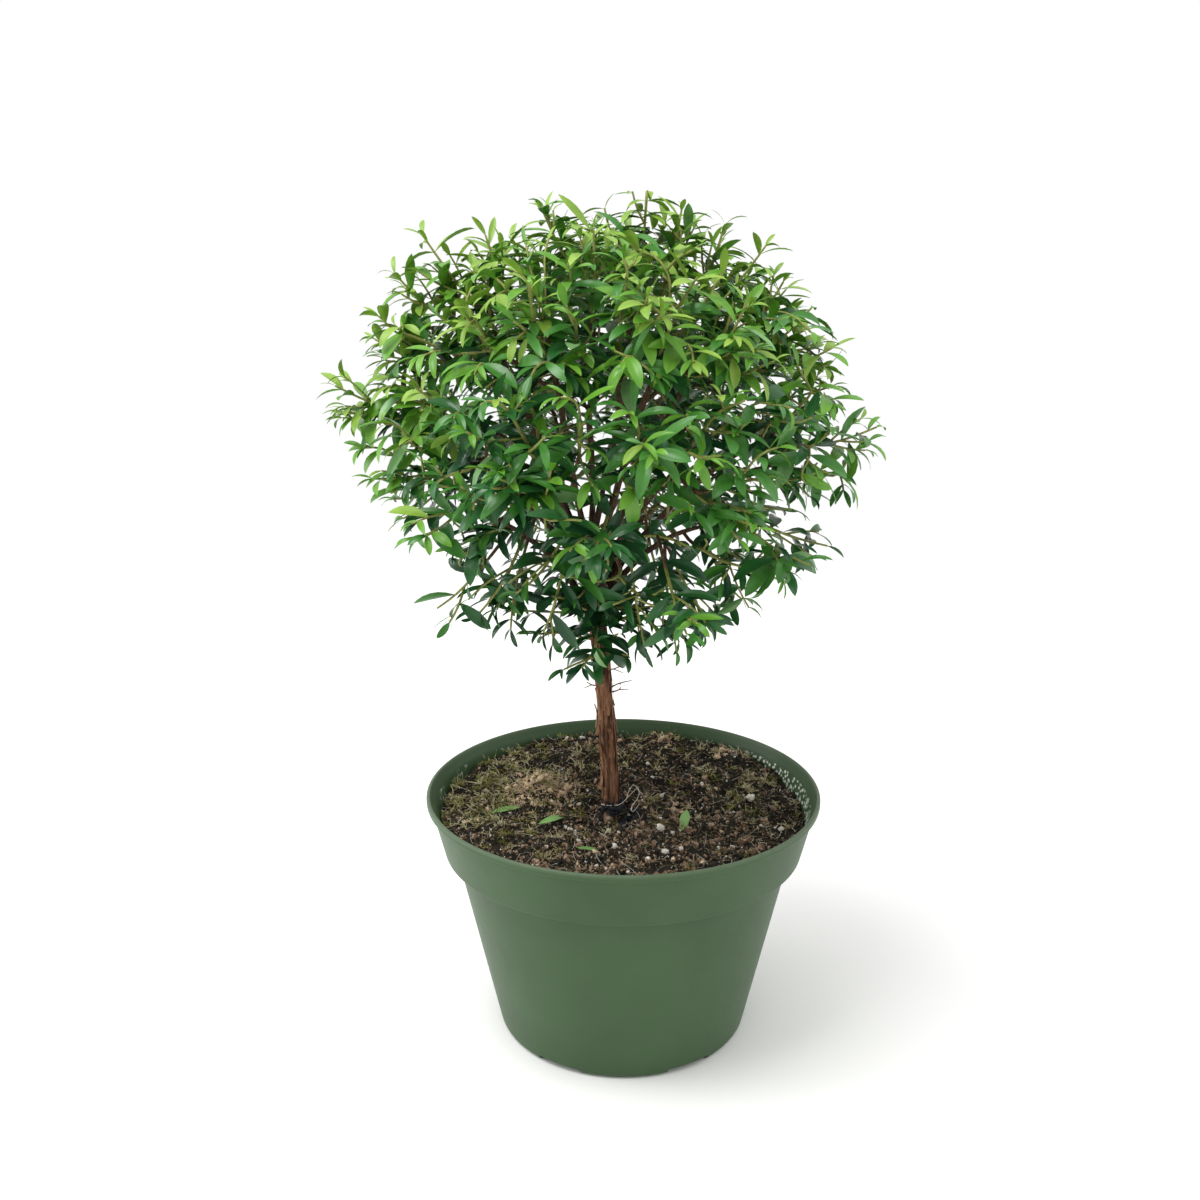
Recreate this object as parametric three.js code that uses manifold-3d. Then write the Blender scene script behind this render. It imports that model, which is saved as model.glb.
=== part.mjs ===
// A small myrtle grown as a standard: one bare stem with a round head of leaves, in a round
// nursery pot full of potting mix. Millimetres, +Z up, origin at the middle of the pot's flat
// underside. -Y is the front.
import * as THREE from "three";
import { mergeVertices } from "three/addons/utils/BufferGeometryUtils.js";
import Module from "manifold-3d";

// ---------------------------------------------------------------- driving dimensions

const GAP = 0.3; // clearance between solids that touch on the real plant

const POT = {
  rimRadius: 82.5, // over the lip, a 165 mm pot
  height: 105,
  wall: 1.5,
  floor: 2.2,
  footRadius: 53.4,
  footRound: 2.6, // rounded edge under the wall
  bodyTopRadius: 70.8, // where the tapered body meets the band
  bandHeight: 24.5, // from the step up to the top of the lip
  bandLowRadius: 75.6,
  bandTopRadius: 80.6,
  stepRise: 1, // the step slopes up by this much as it runs out to the band
  innerStep: [0.6, 2.2], // where the step starts and ends on the inner face, above the outer step
  innerFoot: 3, // height of the slope between the floor and the wall
  lipDepth: 3.4,
  lipRound: 0.8,
  sides: 44,
};
const DRAIN = { count: 6, widthDegrees: 21, height: 2.6, inner: 43, firstDegrees: -60 };

const SOIL = {
  top: 94, // height of the surface at the stem
  heave: 1.6, // height of the long swells
  swells: [17, 21], // distance in X and Y over which a swell turns by one radian
  ripples: { share: 0.6, length: 11 }, // shorter waves across the swells
  flatRadius: 15, // level ground round the stem's foot
  sides: 30,
  rings: 5,
};

const STEM = {
  foot: [-4.6, -2.4], // where the stem leaves the potting mix
  lean: [-8.9, 1.5], // how far its upper end stands off the foot, in X and Y
  bow: [0.9, -2.6], // how far the middle swings out of line, in X and Y
  bowTurn: 1.35, // half waves that the bow makes between the foot and the tip
  tip: 214,
  footRadius: 4.1,
  topRadius: 3.1,
  flareRadius: 5.8,
  flareHeight: 5,
  sides: 12,
  rings: 16,
};

const CROWN = {
  centre: [-8, -1, 251],
  seat: 0.53, // how far out a mass's middle lies, as a share of its reach
  side: 50, // how far a mass spreads sideways and inwards from its middle
  fork: 198.5, // height on the stem that every bough points away from
  coreRadius: 33, // bare branching space round the fork
  corridor: 8.5, // free space beside the stem
};

const BOUGH = {
  startRadius: 1.7,
  endRadius: 1.05,
  lowest: 168, // heights on the stem where the first and the last bough leave it
  highest: 209,
  straight: 0.45, // share of its length in which a bough turns square to its mass
  sides: 6,
  rings: 4,
};

// The head's masses of leaves: compass angle from +X towards +Y, angle above the level, and how
// far the furthest leaf tips reach from the middle of the head.
const MASSES = [
  ["mass_crest", 40, 78, 98],
  ["mass_upper_left", 176, 37, 104],
  ["mass_upper_back", 96, 43, 104],
  ["mass_upper_right", 14, 39, 105],
  ["mass_upper_front_right", -60, 42, 103],
  ["mass_upper_front_left", -120, 41, 104],
  ["mass_left", 182, 7, 114],
  ["mass_back_left", 124, 4, 107],
  ["mass_back_right", 62, 2, 106],
  ["mass_right", -2, -2, 113],
  ["mass_front_right", -60, 1, 107],
  ["mass_front_left", -116, 2, 107],
  ["mass_lower_left", 194, -38, 96],
  ["mass_lower_back_left", 122, -36, 95],
  ["mass_lower_back_right", 52, -35, 94],
  ["mass_lower_right", -12, -33, 100],
  ["mass_lower_front", -82, -42, 100],
];
const MASS_DETAIL = 3; // subdivisions of the icosahedron that each mass starts from
// Leafy bumps that break up a mass's outline. The one that faces straight out reaches its full length.
const TUFT = { count: 10, width: 0.36, rise: 0.26, weakest: 0.4, hollow: 0.86, tipPower: 10 };

const FINISH = {
  pot: { color: 0x4d7350, roughness: 0.55 },
  soil: { color: 0x4a3a2c, roughness: 1.0 },
  bark: { color: 0x7d5238, roughness: 0.9 },
  twig: { color: 0x6b5334, roughness: 0.85 },
  leaves: { color: 0x2f7a2a, roughness: 0.5 },
};

// ---------------------------------------------------------------- helpers

const wasm = await Module();
wasm.setup();

const radians = (degrees) => (degrees * Math.PI) / 180;

// A repeatable random number source.
function seeded(seed) {
  let state = seed >>> 0;
  return () => {
    state = (state + 0x6d2b79f5) >>> 0;
    let t = Math.imul(state ^ (state >>> 15), 1 | state);
    t = (t + Math.imul(t ^ (t >>> 7), 61 | t)) ^ t;
    return ((t ^ (t >>> 14)) >>> 0) / 4294967296;
  };
}

// The same geometry with only positions, and its shared vertices merged.
function welded(geometry) {
  const plain = geometry.clone();
  for (const name of Object.keys(plain.attributes)) if (name !== "position") plain.deleteAttribute(name);
  return mergeVertices(plain, 1e-3);
}

function toSolid(geometry) {
  const merged = welded(geometry);
  return new wasm.Manifold(
    new wasm.Mesh({
      numProp: 3,
      vertProperties: new Float32Array(merged.attributes.position.array),
      triVerts: new Uint32Array(merged.index.array),
    }),
  );
}

function toGeometry(solid) {
  const mesh = solid.getMesh();
  const geometry = new THREE.BufferGeometry();
  geometry.setAttribute("position", new THREE.BufferAttribute(mesh.vertProperties, 3));
  geometry.setIndex(new THREE.BufferAttribute(mesh.triVerts, 1));
  geometry.computeVertexNormals();
  return geometry;
}

// Moves each vertex of a geometry to where place(point) puts it.
function reshaped(geometry, place) {
  const position = geometry.attributes.position;
  const point = new THREE.Vector3();
  for (let i = 0; i < position.count; i++) {
    point.fromBufferAttribute(position, i);
    position.setXYZ(i, ...place(point));
  }
  geometry.computeVertexNormals();
  return geometry;
}

// A lathe turned about Z. LatheGeometry turns about Y, so its result is stood up.
function turned(profile, sides) {
  const points = profile.map(([radius, height]) => new THREE.Vector2(radius, height));
  return new THREE.LatheGeometry(points, sides).rotateX(Math.PI / 2);
}

// A tapering tube along a curve: a capped cylinder whose rings are carried along the curve's frames.
function limb(curve, radiusAt, sides, rings) {
  const frames = curve.computeFrenetFrames(rings, false);
  const cylinder = new THREE.CylinderGeometry(1, 1, rings, sides, rings);
  return reshaped(cylinder, (point) => {
    const ring = Math.round(point.y + rings / 2);
    const along = ring / rings;
    const across = radiusAt(along);
    return curve
      .getPointAt(along)
      .addScaledVector(frames.binormals[ring], point.x * across)
      .addScaledVector(frames.normals[ring], point.z * across)
      .toArray();
  });
}

const mesh = (name, geometry, finish) => {
  const made = new THREE.Mesh(geometry, new THREE.MeshStandardMaterial({ metalness: 0, ...finish }));
  made.name = name;
  return made;
};

// ---------------------------------------------------------------- pot and potting mix

// Radius of the pot's outer wall at a height.
function potRadius(height) {
  const step = POT.height - POT.bandHeight;
  if (height < step) return THREE.MathUtils.lerp(POT.footRadius, POT.bodyTopRadius, height / step);
  return THREE.MathUtils.lerp(POT.bandLowRadius, POT.bandTopRadius, (height - step) / POT.bandHeight);
}

// The pot's inner face, from the rim down to the middle of the floor.
function potInside() {
  const { height, wall, floor, footRadius, footRound, bandHeight, innerStep, innerFoot } = POT;
  const step = height - bandHeight;
  return [
    [POT.rimRadius - wall, height],
    [POT.bandTopRadius - wall, height - POT.lipDepth],
    [POT.bandLowRadius - wall, step + innerStep[1]],
    [POT.bodyTopRadius - wall, step + innerStep[0]],
    [potRadius(floor + innerFoot) - wall, floor + innerFoot],
    [footRadius - footRound - wall, floor],
    [0, floor],
  ];
}

// Radius of the pot's inner face at a height in its wall.
function insideRadius(height) {
  const wall = potInside();
  const upper = wall.findIndex(([, level]) => level < height) - 1;
  const [highRadius, high] = wall[upper];
  const [lowRadius, low] = wall[upper + 1];
  return THREE.MathUtils.lerp(lowRadius, highRadius, (height - low) / (high - low));
}

function potGeometry() {
  const { rimRadius, height, footRadius, footRound, bandHeight, lipDepth, lipRound } = POT;
  const step = height - bandHeight;
  const lipLow = height - lipDepth;
  const outside = [
    [0, 0],
    [footRadius - footRound, 0],
    [footRadius - footRound * 0.3, footRound * 0.3],
    [potRadius(footRound), footRound],
    [POT.bodyTopRadius, step],
    [POT.bandLowRadius, step + POT.stepRise],
    [potRadius(lipLow), lipLow],
    [rimRadius - lipRound * 0.4, lipLow + lipRound * 0.5],
    [rimRadius, lipLow + lipRound * 1.5],
    [rimRadius, height - lipRound],
    [rimRadius - lipRound, height],
  ];
  const shell = toSolid(turned([...outside, ...potInside()], POT.sides));
  return toGeometry(drainCuts().reduce((body, cut) => body.subtract(cut), shell));
}

// The slots where the wall meets the underside, so that water drains and air gets in.
function drainCuts() {
  const half = radians(DRAIN.widthDegrees / 2);
  const outer = POT.footRadius + 6;
  return Array.from({ length: DRAIN.count }, (_, i) => {
    const middle = radians(DRAIN.firstDegrees + (360 / DRAIN.count) * i);
    const shape = new THREE.Shape();
    shape.absarc(0, 0, outer, middle - half, middle + half, false);
    shape.absarc(0, 0, DRAIN.inner, middle + half, middle - half, true);
    shape.closePath();
    const slab = new THREE.ExtrudeGeometry(shape, {
      depth: DRAIN.height + 1,
      bevelEnabled: false,
      curveSegments: 4,
    });
    return toSolid(slab.translate(0, 0, -1));
  });
}

// Height of the potting mix above or below its level: long swells, level at the stem's foot.
function soilHeave(x, y) {
  const [footX, footY] = STEM.foot;
  const [swellX, swellY] = SOIL.swells;
  const swell = Math.cos(x / swellX) * Math.cos(y / swellY);
  const ripple = SOIL.ripples.share * Math.sin((x + y) / SOIL.ripples.length);
  const away = (Math.hypot(x - footX, y - footY) - SOIL.flatRadius) / SOIL.flatRadius;
  return SOIL.heave * (swell + ripple) * THREE.MathUtils.clamp(away, 0, 1);
}

function soilGeometry() {
  const inside = potInside()
    .reverse()
    .filter(([, height]) => height < SOIL.top - 1)
    .map(([radius, height]) => [Math.max(radius - GAP - 0.1, 0), height + GAP]);
  const edge = insideRadius(SOIL.top - 1) - GAP - 0.1;
  const profile = [...inside, [edge, SOIL.top - 1]];
  for (let ring = SOIL.rings; ring >= 1; ring--) profile.push([(edge * ring) / (SOIL.rings + 1), SOIL.top]);
  profile.push([0, SOIL.top]);
  return reshaped(turned(profile, SOIL.sides), ({ x, y, z }) => {
    const onTop = z > SOIL.top - 0.01;
    return [x, y, onTop ? z + soilHeave(x, y) : z];
  });
}

// ---------------------------------------------------------------- stem and boughs

function stemCurve(low, high) {
  const [footX, footY] = STEM.foot;
  const steps = 8;
  const points = Array.from({ length: steps + 1 }, (_, i) => {
    const height = THREE.MathUtils.lerp(low, high, i / steps);
    const share = (height - SOIL.top) / (STEM.tip - SOIL.top);
    const swing = Math.sin(Math.PI * share * STEM.bowTurn);
    const x = footX + STEM.lean[0] * share + STEM.bow[0] * swing;
    const y = footY + STEM.lean[1] * share + STEM.bow[1] * swing;
    return new THREE.Vector3(x, y, height);
  });
  return new THREE.CatmullRomCurve3(points);
}

function stemRadius(height) {
  const share = (height - SOIL.top) / (STEM.tip - SOIL.top);
  const taper = THREE.MathUtils.lerp(STEM.footRadius, STEM.topRadius, share);
  const flare = (STEM.flareRadius - STEM.footRadius) * Math.exp(-(height - SOIL.top) / STEM.flareHeight);
  return taper + flare;
}

function stemGeometry(extra = 0) {
  const low = SOIL.top + GAP - extra;
  const high = STEM.tip + extra;
  const radiusAt = (along) => stemRadius(THREE.MathUtils.lerp(low, high, along)) + extra;
  const tube = limb(stemCurve(low, high), radiusAt, STEM.sides, STEM.rings);
  return reshaped(tube, ({ x, y, z }) => [x, y, Math.max(z, low)]);
}

// Point on the stem's middle line at a height.
function onStem(height) {
  return stemCurve(SOIL.top, STEM.tip).getPointAt((height - SOIL.top) / (STEM.tip - SOIL.top));
}

const fork = onStem(CROWN.fork);

// Where a mass's middle is, which way its bough comes in, and how far out it starts.
function placed([name, compass, above, reach], index) {
  const a = radians(compass);
  const e = radians(above);
  const outward = new THREE.Vector3(Math.cos(e) * Math.cos(a), Math.cos(e) * Math.sin(a), Math.sin(e));
  const centre = new THREE.Vector3(...CROWN.centre).addScaledVector(outward, reach * CROWN.seat);
  const inward = centre.clone().sub(fork).normalize();
  return { name, index, above, reach, outward, centre, inward };
}

const masses = MASSES.map(placed);

// The end of a mass's bough: on the flat inner face of the mass, less the gap.
const boughEnd = ({ inward }) => fork.clone().addScaledVector(inward, CROWN.coreRadius - GAP);

// A bough leaves the stem at a height of its own, rises, and meets its mass square on.
function boughSolid(mass, extra = 0) {
  const rank = masses.filter((other) => other.above < mass.above).length / (masses.length - 1);
  const start = onStem(THREE.MathUtils.lerp(BOUGH.lowest, BOUGH.highest, rank));
  const end = boughEnd(mass);
  const before = end.clone().addScaledVector(mass.inward, -end.distanceTo(start) * BOUGH.straight);
  const curve = new THREE.QuadraticBezierCurve3(start, before, end);
  const radiusAt = (along) => THREE.MathUtils.lerp(BOUGH.startRadius, BOUGH.endRadius, along) + extra;
  return toSolid(limb(curve, radiusAt, BOUGH.sides, BOUGH.rings));
}

// Boughs crowd each other only where they leave the stem. Each is cut clear of the stem and of
// the boughs before it, and keeps the piece that runs on to its mass.
function boughMeshes() {
  const stemRoom = toSolid(stemGeometry(GAP));
  return masses.map((mass, i) => {
    const others = masses.slice(0, i).map((other) => boughSolid(other, GAP));
    const free = [stemRoom, ...others].reduce((body, room) => body.subtract(room), boughSolid(mass));
    const longest = free.decompose().sort((a, b) => b.volume() - a.volume())[0];
    return mesh(mass.name.replace("mass", "bough"), toGeometry(longest), FINISH.twig);
  });
}

// ---------------------------------------------------------------- masses of leaves

// The flat sides that keep a mass to its own room: half way to each neighbour, outside the
// branching core, and clear of the stem. Each is a normal and its distance from the mass's middle.
function sidesOf(mass) {
  const sides = masses
    .filter((other) => other !== mass)
    .map((other) => {
      const towards = other.centre.clone().sub(mass.centre);
      return { normal: towards.clone().normalize(), distance: towards.length() / 2 - GAP / 2 };
    });
  const core = mass.inward.clone().negate();
  sides.push({ normal: core, distance: mass.centre.distanceTo(fork) - CROWN.coreRadius });
  const level = new THREE.Vector3(mass.outward.x, mass.outward.y, 0).normalize();
  const fromStem = mass.centre.clone().sub(onStem(BOUGH.lowest)).dot(level);
  if (fromStem > CROWN.corridor) sides.push({ normal: level.negate(), distance: fromStem - CROWN.corridor });
  return sides;
}

// Leafy bumps: directions scattered evenly over the mass, each with its own strength.
function tuftsOf(mass) {
  const random = seeded(101 + mass.index * 17);
  return Array.from({ length: TUFT.count }, () => {
    const z = 2 * random() - 1;
    const turn = 2 * Math.PI * random();
    const flat = Math.sqrt(1 - z * z);
    const direction = new THREE.Vector3(flat * Math.cos(turn), flat * Math.sin(turn), z);
    return { direction, rise: TUFT.rise * THREE.MathUtils.lerp(TUFT.weakest, 1, random()) };
  });
}

function massGeometry(mass) {
  const sides = sidesOf(mass);
  const tufts = tuftsOf(mass);
  const outwardRadius = mass.reach * (1 - CROWN.seat);
  const ball = new THREE.IcosahedronGeometry(1, MASS_DETAIL);
  return reshaped(ball, (point) => {
    const direction = point.clone().normalize();
    const facing = direction.dot(mass.outward);
    const smooth = THREE.MathUtils.lerp(CROWN.side, outwardRadius, Math.max(facing, 0) ** 2);
    const bump = tufts.reduce(
      (sum, { direction: peak, rise }) => sum + rise * Math.exp(-((direction.angleTo(peak) / TUFT.width) ** 2)),
      0,
    );
    const uneven = THREE.MathUtils.lerp(TUFT.hollow + bump, 1, Math.max(facing, 0) ** TUFT.tipPower);
    let radius = smooth * uneven;
    for (const { normal, distance } of sides) {
      const towards = direction.dot(normal);
      if (towards > 1e-6) radius = Math.min(radius, distance / towards);
    }
    return direction.multiplyScalar(radius).add(mass.centre).toArray();
  });
}

// ---------------------------------------------------------------- the whole plant

const plant = new THREE.Group();
plant.add(mesh("pot", potGeometry(), FINISH.pot));
plant.add(mesh("potting_mix", soilGeometry(), FINISH.soil));
plant.add(mesh("stem", stemGeometry(), FINISH.bark));
plant.add(...boughMeshes());
plant.add(...masses.map((mass) => mesh(mass.name, massGeometry(mass), FINISH.leaves)));

export default plant;
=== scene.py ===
# %% [markdown]
# # A myrtle standard in its nursery pot
#
# The plant is a small-leaved myrtle trained as a standard: one bare stem, a knot of thin boughs
# at its top, and a shaggy round head of sprays. It stands in a thin moulded pot of peat mix.
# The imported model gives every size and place. This lesson grows the real surface on it: relief on
# the bark, twigs and leaves in place of each solid mass, crumbs in place of the flat potting mix.

import math

import bmesh
import bpy
import numpy as np
from mathutils import Matrix, Vector, noise


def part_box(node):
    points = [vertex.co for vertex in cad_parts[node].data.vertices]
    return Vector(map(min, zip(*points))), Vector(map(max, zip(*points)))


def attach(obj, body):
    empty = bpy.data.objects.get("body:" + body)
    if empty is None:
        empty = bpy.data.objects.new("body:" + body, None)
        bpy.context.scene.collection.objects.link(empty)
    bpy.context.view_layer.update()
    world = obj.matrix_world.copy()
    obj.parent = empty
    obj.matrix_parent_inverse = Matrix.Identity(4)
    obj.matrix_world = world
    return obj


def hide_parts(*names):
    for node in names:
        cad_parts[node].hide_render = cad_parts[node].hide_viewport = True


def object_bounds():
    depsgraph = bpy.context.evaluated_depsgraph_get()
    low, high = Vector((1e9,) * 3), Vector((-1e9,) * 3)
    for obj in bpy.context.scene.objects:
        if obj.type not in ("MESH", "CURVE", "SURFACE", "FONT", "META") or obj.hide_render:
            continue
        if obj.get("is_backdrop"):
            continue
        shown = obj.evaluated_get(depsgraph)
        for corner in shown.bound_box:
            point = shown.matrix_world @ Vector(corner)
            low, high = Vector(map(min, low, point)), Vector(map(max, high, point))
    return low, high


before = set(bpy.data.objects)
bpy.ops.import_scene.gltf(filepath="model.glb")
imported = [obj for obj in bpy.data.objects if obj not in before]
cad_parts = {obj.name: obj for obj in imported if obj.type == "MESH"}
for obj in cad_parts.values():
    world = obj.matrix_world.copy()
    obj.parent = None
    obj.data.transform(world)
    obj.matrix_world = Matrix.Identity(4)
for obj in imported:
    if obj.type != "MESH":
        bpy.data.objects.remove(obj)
cad_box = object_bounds()
MM = 0.001


def in_mm(box):
    """A box's two corners in millimetres, to print."""
    return [[round(value / MM, 1) for value in corner] for corner in box]


print("CAD box in mm:", in_mm(cad_box))

# %% [markdown]
# ## Helpers for colour, materials and meshes
#
# Blender works in linear light, while a colour given here is an sRGB hex value, so one function
# turns one into the other. A material is a small tree of nodes, and one function adds a node with
# its settings and links. Thousands of leaves are far too many for separate objects, so shapes are
# collected as arrays of points and faces and turned into one mesh for each kind.

# %% Colour and node helpers
def linear(hex_colour):
    """An sRGB hex colour as the linear RGBA that Blender's sockets take."""
    channels = [int(hex_colour[i : i + 2], 16) / 255 for i in (1, 3, 5)]
    return [c / 12.92 if c <= 0.04045 else ((c + 0.055) / 1.055) ** 2.4 for c in channels] + [1.0]


def add_node(tree, kind, settings=None, links=None):
    """Adds a node. Settings name its properties in lower case and its inputs by name or number."""
    made = tree.nodes.new(kind)
    for key, value in (settings or {}).items():
        if key == "stops":
            elements = made.color_ramp.elements
            while len(elements) < len(value):
                elements.new(0.5)
            for element, (position, hex_colour) in zip(elements, value):
                element.position = position
                element.color = linear(hex_colour)
        elif isinstance(key, str) and key.islower():
            setattr(made, key, value)
        else:
            made.inputs[key].default_value = value
    connect(tree, made, links or {})
    return made


def connect(tree, node, links):
    """Links sources to a node's inputs. From a source that is a node, its first live output is taken."""
    for key, source in links.items():
        if isinstance(source, bpy.types.Node):
            source = next(socket for socket in source.outputs if socket.enabled)
        tree.links.new(source, node.inputs[key])


def new_material(name, settings):
    """A material with a Principled shader set as asked. Returns it, its tree, its shader and its place."""
    material = bpy.data.materials.new(name)
    material.use_nodes = True
    tree = material.node_tree
    tree.nodes.clear()
    shader = add_node(tree, "ShaderNodeBsdfPrincipled", settings)
    add_node(tree, "ShaderNodeOutputMaterial", links={"Surface": shader})
    place = add_node(tree, "ShaderNodeTexCoord").outputs["Object"]
    return material, tree, shader, place


def cells_per_metre(size_mm):
    """Noise scale that makes one blotch about this many millimetres across."""
    return 1 / (size_mm * MM)


# %% Mesh helpers
class Heap:
    """Many small shapes gathered into one mesh."""

    def __init__(self):
        self.points, self.faces, self.count = [], [], 0

    def add(self, points, *faces):
        """Adds points, an array of (x, y, z), and any arrays of triangles and quads into them."""
        self.points.append(np.asarray(points, float))
        self.faces += [np.asarray(f, int) + self.count for f in faces if len(f)]
        self.count += len(points)

    def piece(self, name, material, slot, *nodes):
        """Makes the gathered shapes one smooth piece of the plant that stands for those CAD nodes."""
        mesh = bpy.data.meshes.new(name)
        points = np.concatenate(self.points)
        sizes = np.concatenate([np.full(len(f), f.shape[1]) for f in self.faces])
        corners = np.concatenate([f.ravel() for f in self.faces])
        mesh.vertices.add(len(points))
        mesh.vertices.foreach_set("co", points.ravel())
        mesh.loops.add(len(corners))
        mesh.loops.foreach_set("vertex_index", corners)
        mesh.polygons.add(len(sizes))
        mesh.polygons.foreach_set("loop_start", np.cumsum(sizes) - sizes)
        mesh.update(calc_edges=True)
        mesh.validate()
        mesh.shade_smooth()
        mesh.materials.append(material)
        return settle(bpy.data.objects.new(name, mesh), slot, *nodes)


def settle(piece, slot, *nodes):
    """Puts a piece in the scene, on the plant's one body, in place of the CAD nodes named."""
    if not piece.users_collection:
        bpy.context.scene.collection.objects.link(piece)
    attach(piece, "root")
    if nodes:
        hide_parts(*nodes)
    triangles = sum(len(p.vertices) - 2 for p in piece.data.polygons)
    print(f"{piece.name}: {triangles} triangles")
    return piece


def unit(vectors):
    """The vectors at unit length."""
    return vectors / np.maximum(np.linalg.norm(vectors, axis=-1, keepdims=True), 1e-12)


def ring_faces(rings, sides):
    """Quads between rings of points, and two fans that close the ends onto the two points after them."""
    around = np.arange(sides)
    after = (around + 1) % sides
    low = (np.arange(rings - 1) * sides)[:, None]
    walls = np.stack([low + around, low + after, low + sides + after, low + sides + around], -1)
    last = (rings - 1) * sides
    start_fan = np.stack([after, around, np.full(sides, rings * sides)], -1)
    end_fan = np.stack([last + around, last + after, np.full(sides, rings * sides + 1)], -1)
    return walls.reshape(-1, 4), np.vstack([start_fan, end_fan])


def grid_quads(along, across):
    """Quads of a sheet of points, along by across."""
    grid = np.arange(along * across).reshape(along, across)
    return np.stack([grid[:-1, :-1], grid[:-1, 1:], grid[1:, 1:], grid[1:, :-1]], -1).reshape(-1, 4)


def lengths_along(line):
    """How far each point of a line is from its start, measured along it."""
    return np.concatenate([[0], np.cumsum(np.linalg.norm(np.diff(line, axis=0), axis=1))])


def at_length(wanted, lengths, line):
    """Where a line is at the wanted lengths, given the lengths at its own points."""
    return np.stack([np.interp(wanted, lengths, line[:, axis]) for axis in range(3)], -1)


def tube(heap, line, radii, sides):
    """Adds a closed round limb along a line of points. Its rings are carried along without twist."""
    line = np.asarray(line, float)
    tangents = unit(np.gradient(line, axis=0))
    side = unit(np.cross(tangents[0], [0.31, 0.52, 0.79]))
    turns = np.arange(sides) * 2 * math.pi / sides
    cos, sin = np.cos(turns)[:, None], np.sin(turns)[:, None]
    rings = []
    for point, tangent, radius in zip(line, tangents, radii):
        side = unit(side - tangent * np.dot(side, tangent))
        rings.append(point + radius * (cos * side + sin * np.cross(tangent, side)))
    ends = [line[0], line[-1] + tangents[-1] * radii[-1] * 0.6]
    heap.add(np.concatenate(rings + [ends]), *ring_faces(len(line), sides))


# %% [markdown]
# ## Camera, floor and light
#
# The pot is looked down on by about fifteen degrees, from half a metre away, the way a plant on a
# bench is seen. The floor is a pale disc that fades out before its edge shows. The light is one
# large soft panel from the upper left, two weak ones at the sides, and a white studio all round.

# %% Camera
EYE = Vector((-9.7, -500, 318.7)) * MM
LOOK_DOWN_DEGREES = 14.83
LENS_MM = 38.13

camera = bpy.data.objects.new("camera", bpy.data.cameras.new("camera"))
camera.data.lens = LENS_MM
camera.data.sensor_width = 36
camera.data.clip_start = 0.01
camera.location = EYE
camera.rotation_euler = (math.radians(90 - LOOK_DOWN_DEGREES), 0, 0)
bpy.context.scene.collection.objects.link(camera)
bpy.context.scene.camera = camera


# %% Floor, light and tone
def floor_disc(radius, fade_from):
    """A pale matt disc at the height of the pot's underside that thins out to nothing."""
    mesh = bpy.data.meshes.new("studio_floor")
    shape = bmesh.new()
    bmesh.ops.create_circle(shape, cap_ends=True, radius=radius, segments=96)
    shape.to_mesh(mesh)
    shape.free()
    matt_white = {"Base Color": linear("#f4f4f2"), "Roughness": 0.9}
    material, tree, shader, place = new_material("pale_matt_floor", matt_white)
    away = add_node(tree, "ShaderNodeVectorMath", {"operation": "LENGTH"}, {0: place})
    fade = add_node(tree, "ShaderNodeMapRange",
        {"interpolation_type": "SMOOTHSTEP", "From Min": fade_from, "From Max": radius, "To Min": 1,
        "To Max": 0}, {"Value": away})
    connect(tree, shader, {"Alpha": fade})
    mesh.materials.append(material)
    floor = bpy.data.objects.new("studio_floor", mesh)
    bpy.context.scene.collection.objects.link(floor)
    floor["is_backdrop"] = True


def area_light(name, place, target, size, watts):
    """A square panel of soft white light at a place, facing a target."""
    data = bpy.data.lights.new(name, "AREA")
    data.size = size
    data.energy = watts
    lamp = bpy.data.objects.new(name, data)
    lamp.location = place
    lamp.rotation_euler = (Vector(target) - Vector(place)).to_track_quat("-Z", "Y").to_euler()
    bpy.context.scene.collection.objects.link(lamp)


floor_disc(radius=1.6, fade_from=0.45)
plant_middle = (cad_box[0] + cad_box[1]) / 2
area_light("soft_panel", (-0.5, -0.3, 1.5), plant_middle, size=0.8, watts=16)
area_light("soft_side", (-1.2, 0.1, 0.4), plant_middle, size=0.6, watts=4)
area_light("soft_fill", (1.1, 0.0, 0.5), plant_middle, size=0.8, watts=1.5)

studio = bpy.data.worlds.new("white_studio")
studio.use_nodes = True
background = studio.node_tree.nodes["Background"].inputs
background["Color"].default_value = (1, 1, 1, 1)
background["Strength"].default_value = 1.0
bpy.context.scene.world = studio
bpy.context.scene.view_settings.view_transform = "Standard"

# %% [markdown]
# ## What the frame says
#
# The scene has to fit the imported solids, so every place starts from their boxes and points. The
# middle line of the stem and of each bough is read back by slicing the solid along its length and
# taking the middle of each slice. Each mass of leaves is a star-shaped lump, so a point is inside
# it when it lies between the lump's middle and its surface.

# %% Read the solids
def node_points(name):
    """The vertices of a CAD node, as an array."""
    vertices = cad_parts[name].data.vertices
    points = np.empty(len(vertices) * 3, np.float32)
    vertices.foreach_get("co", points)
    return points.reshape(-1, 3).astype(float)


def middle_line(points, start, end, count):
    """Middle line and radius of a limb, from a soft slice at each of count steps from start to end."""
    length = np.linalg.norm(end - start)
    axis = (end - start) / length
    along = (points - start) @ axis / length
    line, radii = [], []
    for step in np.linspace(0, 1, count):
        weight = np.exp(-(((along - step) * count * 0.8) ** 2))
        middle = weight @ points / weight.sum()
        away = points - middle
        across = np.linalg.norm(away - np.outer(away @ axis, axis), axis=1)
        line.append(middle)
        radii.append(weight @ across / weight.sum())
    return np.array(line), np.array(radii)


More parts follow.
